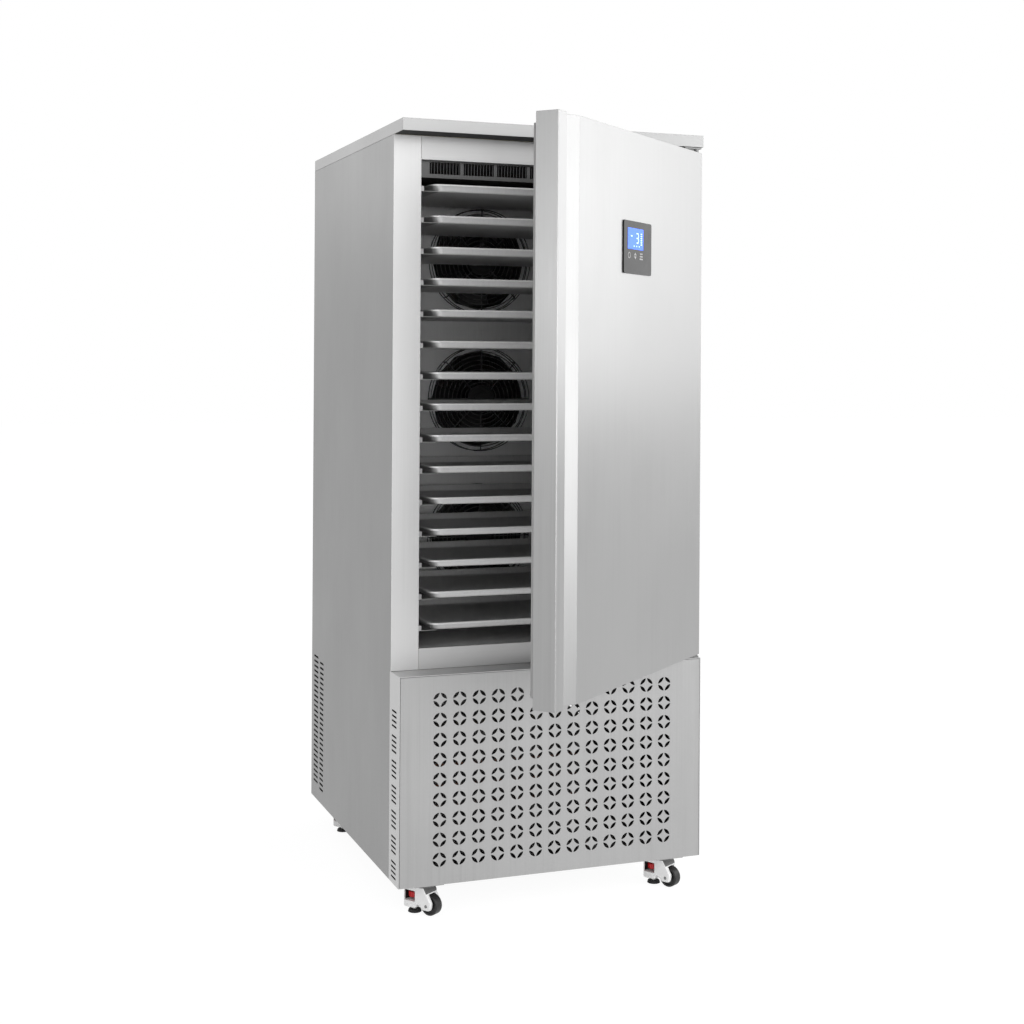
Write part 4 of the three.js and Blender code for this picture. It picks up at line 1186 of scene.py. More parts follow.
# --------------------------------------------------------------------------------- door
@dataclass(frozen=True)
class Door:
    """The door ajar on its hinge: pan with a full-height grip, inner sheet and seal."""

    cabinet: Cabinet
    thickness: float = 55 * MM
    hinge_from_edge: float = 15 * MM
    hinge_from_front: float = 10 * MM
    gap_below: float = 7 * MM
    gap_above: float = 13.5 * MM
    ajar: float = math.radians(40.5)
    grip_start: float = 100 * MM
    grip_slope: float = 48 * MM
    grip_depth: float = 24 * MM
    grip_lip: float = 38 * MM
    grip_wall: float = 14 * MM
    lip: float = 3 * MM
    bend: float = 3 * MM
    slope_bends: Point = (4 * MM, 6 * MM)
    lip_bends: Point = (0.8 * MM, 1.3 * MM)
    sheet: float = 1.2 * MM
    gasket_inset: float = 20 * MM
    gasket_width: float = 20 * MM
    seam: float = 0.3 * MM

    @property
    def free_edge(self) -> float:
        """Free edge of the closed door, from the hinge axis."""
        return self.hinge_from_edge - 2 * self.cabinet.half_width

    @property
    def front(self) -> float:
        """Front of the closed door, from the hinge axis."""
        return -self.hinge_from_front

    @property
    def back(self) -> float:
        """Back of the closed door, from the hinge axis."""
        return self.thickness - self.hinge_from_front

    @property
    def bottom(self) -> float:
        """Lower edge of the door."""
        return self.cabinet.bay_top + self.gap_below

    @property
    def top(self) -> float:
        """Upper edge of the door."""
        return self.cabinet.lid_underside - self.gap_above

    @property
    def middle_x(self) -> float:
        """Middle of the closed door's width, from the hinge axis."""
        return (self.free_edge + self.hinge_from_edge) / 2

    def placed(self) -> Matrix:
        """Carries a form from the hinge axis to the door as it stands ajar.

        Returns:
            The matrix.
        """
        axis = (
            self.cabinet.middle + self.cabinet.half_width - self.hinge_from_edge,
            self.cabinet.front + self.hinge_from_front,
            0,
        )
        return Matrix.Translation(axis) @ Matrix.Rotation(self.ajar, 4, "Z")

    def outline(self) -> list[Point]:
        """Plan of the door with its grip, from the hinge round the front to the back.

        Returns:
            The plan, from the hinge axis.
        """
        edge, free = self.hinge_from_edge, self.free_edge
        front, back = self.front, self.back
        floor = front + self.grip_depth
        finger = free + self.grip_wall
        tip = free + self.grip_lip
        dip = free + self.grip_start
        bend, (upper, lower), (inner, outer) = self.bend, self.slope_bends, self.lip_bends
        return filleted(
            [
                (edge, back, 0),
                (edge, front, bend),
                (dip, front, upper),
                (dip - self.grip_slope, floor, lower),
                (finger, floor, bend),
                (finger, front + self.lip, inner),
                (tip, front + self.lip, outer),
                (tip, front, outer),
                (free, front, bend),
                (free, back, 0),
            ]
        )

    def skin(self) -> None:
        """Outer pan, drawn up from its plan and left open at the back."""
        plan = [(x, y, self.bottom) for x, y in self.outline()]
        pan = Workpiece.traced("door_pan", plan).raised((0, 0, self.top - self.bottom))
        with pan.worked():
            pan.pick(
                Part.FACE,
                lambda face: all(abs(corner.co.y - self.back) < NEAR for corner in face.verts),
            )
            bpy.ops.mesh.delete(type="ONLY_FACE")
        pan.softened(1.2 * MM, 3, 50).thickened(self.sheet).smooth(32)
        pan.moved(self.placed()).dress(DOOR_STEEL, "door", ["door_skin"])

    def liner(self) -> None:
        """Inner sheet with its raised middle."""
        liner = Workpiece.copy_of("door_inner_sheet", "door_liner").softened(1.5 * MM, 3)
        liner.smooth().dress(DOOR_LINER_STEEL, "door", ["door_liner"])

    def gasket(self) -> None:
        """Seal with a snap-in foot, a bellows and a soft magnetic bulb."""
        height = self.top - self.bottom
        depth = self.cabinet.face - self.cabinet.front - self.thickness - 2 * self.seam
        width = self.gasket_width
        half_section = [
            (0.0, 0.0),
            (0.0, 0.22),
            (0.22, 0.28),
            (0.26, 0.46),
            (0.1, 0.56),
            (0.05, 0.72),
            (0.1, 0.9),
            (0.26, 1.0),
        ]
        other_half = [(1 - across, rise) for across, rise in reversed(half_section)]
        section = [(a * width, rise * depth) for a, rise in half_section + other_half]
        half = (self.cabinet.half_width - self.gasket_inset, height / 2 - self.gasket_inset)
        centre = Vector((self.middle_x, self.back + self.seam, self.bottom + height / 2))
        seal = swept_frame("door_seal", centre, half, section)
        seal.smooth(50).moved(self.placed()).dress(SEAL_RUBBER_PAINTED_LIGHT, "door", ["door_gasket"])

    def build(self) -> None:
        """Makes the door's shell and seal."""
        self.skin()
        self.liner()
        self.gasket()


@dataclass(frozen=True)
class ControlPanel:
    """Glass panel on the door with a blue display, digits and touch marks."""

    door: Door
    width: float = 154 * MM
    height: float = 123 * MM
    thickness: float = 3 * MM
    corner: float = 5 * MM
    above_middle: float = 372 * MM
    display_x: Point = (-56 * MM, 29 * MM)
    display_z: Point = (-4 * MM, 45 * MM)
    print_height: float = 0.25 * MM
    stroke: float = 2.6 * MM
    icon_z: float = -19 * MM
    icon_places: tuple[float, ...] = (-48 * MM, -15 * MM, 18 * MM)
    icon_half: float = 8 * MM
    digit_place: Point = (-4 * MM, 2 * MM)
    digit_size: float = 11 * MM
    sign_place: Point = (-36 * MM, 6 * MM)
    sign_length: float = 9 * MM
    level_place: Point = (18 * MM, -12 * MM)
    level_pitch: float = 5 * MM
    level_length: float = 7 * MM
    level_bars: int = 6
    mark_places: tuple[float, ...] = (-22 * MM, -8 * MM, 6 * MM)
    mark_drop: float = 17 * MM
    mark_length: float = 5 * MM

    def origin(self) -> Vector:
        """Middle of the panel's back on the closed door, from the hinge axis."""
        door = self.door
        height = (door.bottom + door.top) / 2 + self.above_middle
        return Vector((door.middle_x, door.front - door.seam, height))

    def printed(self, name: str, x: Point, z: Point, base: float) -> Workpiece:
        """A thin raised bar on the panel's face.

        Args:
            name: The piece's name.
            x, z: Its ends, from the panel's middle.
            base: Its back, before the panel's back.

        Returns:
            The bar.
        """
        origin = self.origin()
        front = origin.y - base
        return Workpiece.block(
            name,
            (origin.x + x[0], front - self.print_height, origin.z + z[0]),
            (origin.x + x[1], front, origin.z + z[1]),
        )

    def place(self, piece: Workpiece, finish: Finish, replaces: Sequence[str] = ()) -> None:
        """Hangs a piece on the open door."""
        piece.smooth().moved(self.door.placed()).dress(finish, "door", replaces)

    def glass(self) -> None:
        """Glass plate with rounded corners and a ground edge."""
        origin = self.origin()
        half_x, half_z = self.width / 2, self.height / 2
        plate = Workpiece.block(
            "panel_plate",
            (origin.x - half_x, origin.y - self.thickness, origin.z - half_z),
            (origin.x + half_x, origin.y, origin.z + half_z),
        )
        with plate.worked():
            plate.pick(
                Part.EDGE,
                lambda edge: abs(edge.verts[0].co.y - edge.verts[1].co.y) > self.thickness / 2,
            )
            bpy.ops.mesh.bevel(offset=self.corner, segments=6, affect="EDGES")
        self.place(plate.softened(0.5 * MM), PANEL_GLASS, ["control_panel"])

    def bar(self, x: float, z: float, upright: bool, length: float) -> Workpiece:
        """One segment of a digit, with its ends cut to points.

        Args:
            x, z: Its middle.
            upright: Whether it stands.
            length: Its length.

        Returns:
            The segment.
        """
        half, narrow = length / 2, self.stroke / 2
        across, up = (narrow, half) if upright else (half, narrow)
        base = self.thickness + self.print_height
        piece = self.printed("digit_bar", (x - across, x + across), (z - up, z + up), base)
        with piece.worked():
            piece.pick(
                Part.EDGE,
                lambda edge: abs(edge.verts[0].co.y - edge.verts[1].co.y)
                > self.print_height / 2,
            )
            bpy.ops.mesh.bevel(offset=narrow * 0.8, segments=1, affect="EDGES")
        return piece

    def digit(self, x: float, z: float, size: float, lit: str) -> list[Workpiece]:
        """A seven-segment digit; lit names its segments from a to g.

        Args:
            x, z: Its middle.
            size: Half of its height.
            lit: Segments that glow.

        Returns:
            The segments.
        """
        half = size / 2
        places = {
            "a": (0, size, False),
            "b": (half, half, True),
            "c": (half, -half, True),
            "d": (0, -size, False),
            "e": (-half, -half, True),
            "f": (-half, half, True),
            "g": (0, 0, False),
        }
        length = size * 0.86
        return [self.bar(x + places[s][0], z + places[s][1], places[s][2], length) for s in lit]

    def display(self) -> None:
        """Blue display with a temperature, a level bar and small marks."""
        screen = self.printed("panel_display", self.display_x, self.display_z, self.thickness)
        self.place(screen, DISPLAY)
        middle_z = sum(self.display_z) / 2
        (digit_x, digit_rise), (sign_x, sign_rise) = self.digit_place, self.sign_place
        level_x, level_rise = self.level_place
        marks = self.digit(digit_x, middle_z + digit_rise, self.digit_size, "abcdg")
        marks.append(self.bar(sign_x, middle_z + sign_rise, False, self.sign_length))
        for step in range(self.level_bars):
            z = middle_z + level_rise + step * self.level_pitch
            marks.append(self.bar(level_x, z, False, self.level_length))
        for x in self.mark_places:
            marks.append(self.bar(x, middle_z - self.mark_drop, False, self.mark_length))
        self.place(marks[0].absorb(marks[1:]), DIGITS)
        marks[0].obj.name = "panel_digits"

    def icons(self) -> None:
        """Touch marks under the display: a ring, a pair of arrows and three bars."""
        origin = self.origin()
        face = origin.y - self.thickness - self.print_height / 2
        left, middle, right = self.icon_places
        ring = Workpiece.hoop(
            "touch_ring",
            (origin.x + left, face, origin.z + self.icon_z),
            self.icon_half * 0.8,
            2.2 * MM,
            Axis.Y,
        )
        with ring.worked():
            bpy.ops.mesh.select_all(action="SELECT")
            bpy.ops.transform.resize(
                value=(1, 0.15, 1), center_override=(origin.x + left, face, origin.z + self.icon_z)
            )
        marks = [ring]
        for tip, foot in ((1.0, 0.15), (-1.0, -0.15)):
            corners = [
                (middle, self.icon_z + tip * self.icon_half),
                (middle - self.icon_half * 0.9, self.icon_z + foot * self.icon_half),
                (middle + self.icon_half * 0.9, self.icon_z + foot * self.icon_half),
            ]
            arrow = Workpiece.traced(
                "touch_arrow",
                [(origin.x + x, origin.y - self.thickness, origin.z + z) for x, z in corners],
            )
            marks.append(arrow.raised((0, -self.print_height, 0)))
        for step in (-1, 0, 1):
            z = self.icon_z + step * self.icon_half * 0.75
            reach = self.icon_half * (1 - 0.12 * step)
            marks.append(
                self.printed(
                    "touch_bar",
                    (right - reach, right + reach),
                    (z - 1.6 * MM, z + 1.6 * MM),
                    self.thickness,
                )
            )
        self.place(marks[0].absorb(marks[1:]), ICONS)
        marks[0].obj.name = "panel_touch_marks"

    def build(self) -> None:
        """Makes the panel and what is printed on it."""
        self.glass()
        self.display()
        self.icons()


# -------------------------------------------------------------------------------- trays
@dataclass(frozen=True)
class Trays:
    """Fifteen shallow trays, pressed from one sheet with a curled rim."""

    count: int = 15
    rim: float = 9 * MM
    slope: float = 5 * MM
    curl: float = 4 * MM
    sheet: float = 1.2 * MM
    corner: float = 24 * MM

    def pressed(self) -> Workpiece:
        """One tray in the place of the topmost.

        Returns:
            The tray.
        """
        low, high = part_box("tray_01")
        centre = (low + high) / 2
        half = (high - low) / 2
        plan = filleted(
            [
                (low.x, low.y, self.corner),
                (high.x, low.y, self.corner),
                (high.x, high.y, self.corner),
                (low.x, high.y, self.corner),
            ],
            8,
        )
        depth = high.z - low.z
        # Each step: inset from the tray's edge, and depth below its rim.
        steps = [
            (0.0, self.curl),
            (0.0, 0.8 * MM),
            (0.8 * MM, 0.0),
            (self.rim - 1 * MM, 0.0),
            (self.rim, 1 * MM),
            (self.rim + self.slope * 0.8, depth - 3 * MM),
            (self.rim + self.slope + 1 * MM, depth - 0.8 * MM),
            (self.rim + self.slope + 4 * MM, depth),
        ]
        tray = Workpiece.traced("tray_pressed", [(x, y, high.z - self.curl) for x, y in plan])
        with tray.worked():
            bpy.ops.mesh.select_mode(type="EDGE")
            bpy.ops.mesh.select_all(action="SELECT")
            for here, there in zip(steps, steps[1:]):
                bpy.ops.mesh.extrude_edges_move(
                    TRANSFORM_OT_translate={"value": (0, 0, here[1] - there[1])}
                )
                shrink = (
                    (half.x - there[0]) / (half.x - here[0]),
                    (half.y - there[0]) / (half.y - here[0]),
                    1,
                )
                bpy.ops.transform.resize(value=shrink, center_override=centre)
            bpy.ops.mesh.edge_face_add()
            bpy.ops.mesh.select_all(action="SELECT")
            bpy.ops.mesh.normals_make_consistent(inside=False)
        bottom = max(tray.obj.data.polygons, key=lambda face: face.area)
        if bottom.normal.z < 0:
            tray.turned_over()
        return tray.thickened(self.sheet).smooth(50)

    def build(self) -> None:
        """Copies the tray to every runner."""
        first = self.pressed()
        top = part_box("tray_01")[1].z
        twins = [first.twin(f"tray_{index:02d}_pressed") for index in range(2, self.count + 1)]
        first.obj.name = "tray_01_pressed"
        for index, tray in enumerate([first, *twins], 1):
            node = f"tray_{index:02d}"
            tray.shifted((0, 0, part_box(node)[1].z - top)).dress(TRAY_METAL_PAINTED_LIGHT, node, [node])


# --------------------------------------------------------------------------------- fans
@dataclass(frozen=True)
class Rotor:
    """Axial fan rotor with twisted sheet blades, drawn facing along -Y."""

    radius: float = 125 * MM
    hub: float = 36 * MM
    hub_length: float = 30 * MM
    blades: int = 4
    root_chord: float = 52 * MM
    tip_chord: float = 96 * MM
    root_pitch: float = 38.0
    tip_pitch: float = 22.0
    sheet: float = 2 * MM
    bore: float = 5.6 * MM
    columns: int = 6
    chord_steps: int = 6
    root_sink: float = 3 * MM
    tip_trim: float = 4 * MM
    hub_recess: float = 12 * MM

    def blade(self) -> Workpiece:
        """One blade along +X, twisted from its root to its tip.

        Returns:
            The blade.
        """
        reach = self.radius - self.hub + self.root_sink
        middle = self.radius - reach / 2
        put_down_all()
        bpy.ops.mesh.primitive_grid_add(
            x_subdivisions=self.columns,
            y_subdivisions=self.chord_steps,
            size=1,
            location=(middle, 0, 0),
        )
        blade = Workpiece("fan_blade")
        blade.obj.scale = (reach, self.root_chord, 1)
        blade.settle()
        near = reach / self.columns / 4
        with blade.worked():
            for column in range(self.columns + 1):
                share = column / self.columns
                x = middle + (share - 0.5) * reach
                blade.pick(Part.VERTEX, lambda corner: abs(corner.co.x - x) < near)
                chord = self.root_chord + (self.tip_chord - self.root_chord) * share
                pitch = self.root_pitch + (self.tip_pitch - self.root_pitch) * share
                pivot = (x, 0, 0)
                bpy.ops.transform.resize(
                    value=(1, chord / self.root_chord, 1), center_override=pivot
                )
                bpy.ops.transform.rotate(
                    value=-math.radians(pitch), orient_axis="X", center_override=pivot
                )
            blade.pick(Part.VERTEX, lambda corner: corner.co.x > self.radius - near)
            bpy.ops.transform.translate(value=(-self.tip_trim, 0, 0))
        return blade.thickened(self.sheet, 0.0).softened(0.5 * MM, 1)

    def build(self, name: str, node: str, body: str) -> None:
        """Makes a rotor in a node's place.

        Args:
            name: The piece's name.
            node: What it stands for.
            body: What it rides on.
        """
        low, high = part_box(node)
        centre = (low + high) / 2
        hub = Workpiece.rod(name, (0, 0, 0), self.hub, self.hub_length, segments=40)
        with hub.worked():
            hub.pick(Part.FACE, lambda face: face.normal.z < -FACING)
            bpy.ops.mesh.inset(thickness=self.hub - self.bore)
            bpy.ops.mesh.extrude_region_move(
                TRANSFORM_OT_translate={"value": (0, 0, self.hub_recess)}
            )
        hub.softened(2 * MM, 3, 60)
        first = self.blade()
        turns = [index * 2 * math.pi / self.blades for index in range(1, self.blades)]
        others = [first.twin("fan_blade").moved(Matrix.Rotation(turn, 4, "Z")) for turn in turns]
        rotor = hub.absorb([first, *others]).smooth(40)
        rotor.moved(Matrix.Rotation(-QUARTER_TURN, 4, "X")).shifted(centre)
        rotor.dress(FAN_PLASTIC, body, [node])


@dataclass(frozen=True)
class FanGuard:
    """Round wire guard with the fan motor at its middle."""

    diameter: float = 296 * MM
    depth: float = 32 * MM
    wire: float = 2.6 * MM
    bar: float = 3.4 * MM
    rings: int = 9
    spokes: int = 8
    motor_radius: float = 40 * MM
    motor_length: float = 66 * MM
    shaft_radius: float = 5 * MM
    shaft_length: float = 22 * MM
    ring_gap: float = 6 * MM
    spoke_lap: float = 4 * MM
    spoke_bend: Point = (1 * MM, 3 * MM)
    cap_rim: float = 7 * MM
    cap_shoulder: float = 14 * MM
    cap_step: float = 2 * MM

    def cage(self, centre: Vector) -> Workpiece:
        """Rings and bent spokes round the middle of the guard's front.

        Args:
            centre: Middle of the guard's front.

        Returns:
            The cage.
        """
        radius = self.diameter / 2 - self.wire
        first = self.motor_radius + self.ring_gap
        gap = (radius - first) / (self.rings - 1)
        inset = self.bar + self.wire / 2
        wires = [
            Workpiece.hoop(
                "guard_ring",
                centre + Vector((0, inset, 0)),
                first + gap * index,
                self.wire,
                Axis.Y,
            )
            for index in range(self.rings)
        ]
        foot = Vector((0, self.depth - self.wire, 0))
        wires.append(Workpiece.hoop("guard_foot", centre + foot, radius, self.wire, Axis.Y))
        for index in range(self.spokes):
            ray = Matrix.Rotation(index * 2 * math.pi / self.spokes, 4, "Y") @ Vector((1, 0, 0))
            start = centre + Vector((0, self.bar / 2, 0))
            short, dip = self.spoke_bend
            wires.append(
                Workpiece.wire(
                    "guard_spoke",
                    [
                        start + ray * (self.motor_radius - self.spoke_lap),
                        start + ray * (radius - self.spoke_lap),
                        start + ray * (radius - short) + Vector((0, dip, 0)),
                        start + ray * radius + Vector((0, self.depth - self.bar, 0)),
                    ],
                    self.bar,
                )
            )
        return wires[0].absorb(wires[1:])

    def motor(self, name: str, centre: Vector) -> Workpiece:
        """Motor with a stepped front cap and cooling ribs, and its shaft.

        Args:
            name: The piece's name.
            centre: Middle of its front.

        Returns:
            The motor.
        """
        middle = centre + Vector((0, self.motor_length / 2, 0))
        can = Workpiece.rod(name, middle, self.motor_radius, self.motor_length, Axis.Y, 48)
        front = centre.y + 0.5 * MM
        with can.worked():
            can.pick(Part.FACE, lambda face: all(v.co.y < front for v in face.verts))
            for rim, step in ((self.cap_rim, self.cap_step), (self.cap_shoulder, -self.cap_step)):
                bpy.ops.mesh.inset(thickness=rim)
                bpy.ops.mesh.extrude_region_move(TRANSFORM_OT_translate={"value": (0, step, 0)})
        can.softened(1.5 * MM, 3, 60)
        tail = centre + Vector((0, self.motor_length + self.shaft_length / 2, 0))
        shaft = Workpiece.rod(
            "motor_shaft", tail, self.shaft_radius, self.shaft_length, Axis.Y, 20
        )
        return can.absorb([shaft.softened(0.6 * MM)]).smooth(40)

    def build(self, index: int) -> None:
        """Makes one guard and its motor.

        Args:
            index: The fan's number, from 1.
        """
        node = f"fan_guard_{index}"
        low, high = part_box(node)
        centre = Vector(((low.x + high.x) / 2, low.y, (low.z + high.z) / 2))
        cage = self.cage(centre)
        cage.obj.name = f"guard_cage_{index}"
        cage.smooth(60).dress(GUARD_WIRE_PAINTED_LIGHT, "cabinet", [node])
        motor = self.motor(f"guard_motor_{index}", centre)
        motor.dress(MACHINE_PAINT, "cabinet", [node])


# ---------------------------------------------------------------------- heat exchangers
@dataclass(frozen=True)
class Exchanger:
    """Stack of thin upright fins crossed by rows of tubes with return bends."""

    fin: float = 0.4 * MM
    fin_pitch: float = 5 * MM
    tube: float = 9.5 * MM
    tube_pitch: float = 50 * MM
    bend_reach: float = 12 * MM

    def fins(self, name: str, low: Vector, high: Vector) -> Workpiece:
        """Fins with flanged edges, repeated along X.

        Args:
            name: The piece's name.
            low, high: Its corners.

        Returns:
            The fins.
        """
        count = int((high.x - low.x) / self.fin_pitch)
        pack = Workpiece.block(name, low, (low.x + self.fin, high.y, high.z))
        with pack.worked():
            pack.pick(Part.FACE, lambda face: abs(face.normal.y) > FACING)
            bpy.ops.mesh.extrude_region_move(
                TRANSFORM_OT_translate={"value": (self.fin * 2, 0, 0)}
            )
        step = (high.x - low.x - self.fin) / (count - 1)
        return pack.facing_out().repeated(count, (step, 0, 0))

    def tubes(self, name: str, low: Vector, high: Vector, rows: int) -> Workpiece:
        """Tubes through the pack, joined in pairs by return bends.

        Args:
            name: The piece's name.
            low, high: Corners of the pack.
            rows: From front to rear.

        Returns:
            The tubes.
        """
        runs = []
        levels = int((high.z - low.z) / self.tube_pitch)
        for row in range(rows):
            y = low.y + (high.y - low.y) * (row + 0.5) / rows
            for level in range(0, levels - 1, 2):
                z = low.z + self.tube_pitch * (level + 0.5)
                bend = [
                    Vector((high.x, y, z))
                    + Vector(
                        (
                            self.bend_reach * math.sin(turn),
                            0,
                            self.tube_pitch / 2 * (1 - math.cos(turn)),
                        )
                    )
                    for turn in [step * math.pi / 8 for step in range(9)]
                ]
                ends = [Vector((low.x - self.bend_reach / 2, y, z)), *bend]
                ends.append(Vector((low.x - self.bend_reach / 2, y, z + self.tube_pitch)))
                runs.append(Workpiece.wire(name, ends, self.tube))
        return runs[0].absorb(runs[1:])


@dataclass(frozen=True)
class Evaporator:
    """Coil behind the fan panel: fins, tubes and the sheets that hold them."""

    exchanger: Exchanger
    plate: float = 2 * MM
    margin: float = 14 * MM
    front_gap: float = 6 * MM
    rear_gap: float = 18 * MM
    drip_height: float = 60 * MM
    top_gap: float = 6 * MM
    tube_rows: int = 3

    def build(self) -> None:
        """Makes the coil in its node's place."""
        low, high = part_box("evaporator_coil")
        fin_low = low + Vector((self.margin, self.front_gap, self.drip_height))
        fin_high = high - Vector((self.margin, self.rear_gap, self.top_gap))
        fins = self.exchanger.fins("coil_fins", fin_low, fin_high)
        fins.dress(FIN_METAL, "cabinet", ["evaporator_coil"])
        tubes = self.exchanger.tubes("coil_tubes", fin_low, fin_high, self.tube_rows)
        tubes.smooth(60).dress(COPPER, "cabinet")
        sheets = [
            Workpiece.block(
                "coil_sheet", (x, low.y, low.z), (x + self.plate, high.y, high.z)
            ).softened(0.4 * MM)
            for x in (fin_low.x - self.plate, fin_high.x)
        ]
        sheets[0].obj.name = "coil_tube_sheets"
        sheets[0].absorb(sheets[1:]).smooth().dress(COVER_STEEL_PAINTED_LIGHT, "cabinet")


@dataclass(frozen=True)
class Condenser:
    """Condenser with its shroud, fan motor and bracket, behind the grille."""

    exchanger: Exchanger
    guard: FanGuard
    depth: float = 50 * MM
    shroud_wall: float = 2 * MM
    shroud_depth: float = 40 * MM
    opening: float = 150 * MM
    bracket: float = 14 * MM
    tube_inset: float = 14 * MM
    tube_rows: int = 2

    def build(self) -> None:
        """Makes the condenser in its node's place."""
        low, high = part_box("condenser")
        back = low.y + self.depth
        fins = self.exchanger.fins("condenser_fins", low, Vector((high.x, back, high.z)))
        fins.dress(FIN_METAL, "cabinet", ["condenser"])
        inset = Vector((self.tube_inset, 0, 0))
        tubes = self.exchanger.tubes(
            "condenser_tubes",
            low + inset,
            Vector((high.x, back, high.z)) - inset,
            self.tube_rows,
        )
        tubes.smooth(60).dress(COPPER, "cabinet")
        middle = Vector(((low.x + high.x) / 2, back, (low.z + high.z) / 2))
        shroud = Workpiece.block(
            "condenser_shroud",
            (low.x, back + self.shroud_wall, low.z),
            (high.x, back + self.shroud_depth, high.z),
        )
        hole = Workpiece.rod(
            "shroud_hole", middle, self.opening, 4 * self.shroud_depth, Axis.Y, 48
        )
        shroud.without(hole).softened(1 * MM).smooth().dress(BASE_STEEL, "cabinet")
        arm = Workpiece.block(
            "condenser_bracket",
            (middle.x - self.bracket, back + self.shroud_wall, low.z),
            (middle.x + self.bracket, back + self.bracket, high.z),
        )
        arm.softened(1.5 * MM, 3).smooth().dress(BASE_STEEL, "cabinet")
        motor = self.guard.motor("condenser_motor", middle - Vector((0, 1 * MM, 0)))
        motor.dress(MACHINE_PAINT, "cabinet")


@dataclass(frozen=True)
class Compressor:
    """Hermetic compressor: a welded shell on a foot plate with rubber mounts."""

    radius: float = 105 * MM
    height: float = 270 * MM
    mount_height: float = 15 * MM
    mount_radius: float = 14 * MM
    plate: float = 5 * MM
    weld: float = 5 * MM
    crown: float = 62 * MM
    heel: float = 26 * MM
    box_half: float = 34 * MM
    box_reach: float = 20 * MM
    box_sink: float = 30 * MM
    box_drop: float = 38 * MM

    def build(self) -> None:
        """Makes the compressor in its node's place."""
        low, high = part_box("compressor")
        centre = (low + high) / 2
        base = low.z + self.mount_height
        middle = Vector((centre.x, centre.y, base + self.height / 2))
        shell = Workpiece.rod("compressor_shell", middle, self.radius, self.height, segments=64)
        with shell.worked():
            shell.pick(Part.EDGE, lambda edge: all(v.co.z > middle.z for v in edge.verts))
            bpy.ops.mesh.bevel(offset=self.crown, segments=10, affect="EDGES")
            shell.pick(Part.EDGE, lambda edge: all(v.co.z < base + 1 * MM for v in edge.verts))
            bpy.ops.mesh.bevel(offset=self.heel, segments=6, affect="EDGES")
        seam = Workpiece.hoop("shell_seam", middle, self.radius, self.weld * 2, Axis.Z)
        face = middle - Vector((0, self.radius, 0))
        terminals = Workpiece.block(
            "terminal_box",
            face - Vector((self.box_half, self.box_reach, self.box_drop)),
            face + Vector((self.box_half, self.box_sink, self.box_half)),
        ).softened(4 * MM, 3)
        shell.absorb([seam, terminals]).smooth(45)
        shell.dress(MACHINE_PAINT, "cabinet", ["compressor"])
        plate = Workpiece.block(
            "compressor_foot",
            (low.x, low.y, base - self.plate),
            (high.x, high.y, base),
        )
        plate.softened(1 * MM).smooth().dress(BASE_STEEL, "cabinet")
        self.mounts(low, high)

    def mounts(self, low: Vector, high: Vector) -> None:
        """Rubber mounts under the four corners of the foot plate.

        Args:
            low, high: Corners of the node.
        """
        height = self.mount_height - self.plate
        mounts = [
            Workpiece.rod(
                "compressor_mount",
                (x, y, low.z + height / 2),
                self.mount_radius,
                height,
                segments=24,
            ).softened(2 * MM, 2)
            for x in (low.x + self.mount_radius, high.x - self.mount_radius)
            for y in (low.y + self.mount_radius, high.y - self.mount_radius)
        ]
        mounts[0].obj.name = "compressor_mounts"
        mounts[0].absorb(mounts[1:]).smooth().dress(PAD_RUBBER, "cabinet")


# ------------------------------------------------------------------------------ castors
CASTOR_HEADINGS = {
    "front_left": -55.0,
    "front_right": -60.0,
    "rear_left": -55.0,
    "rear_right": -58.0,
}


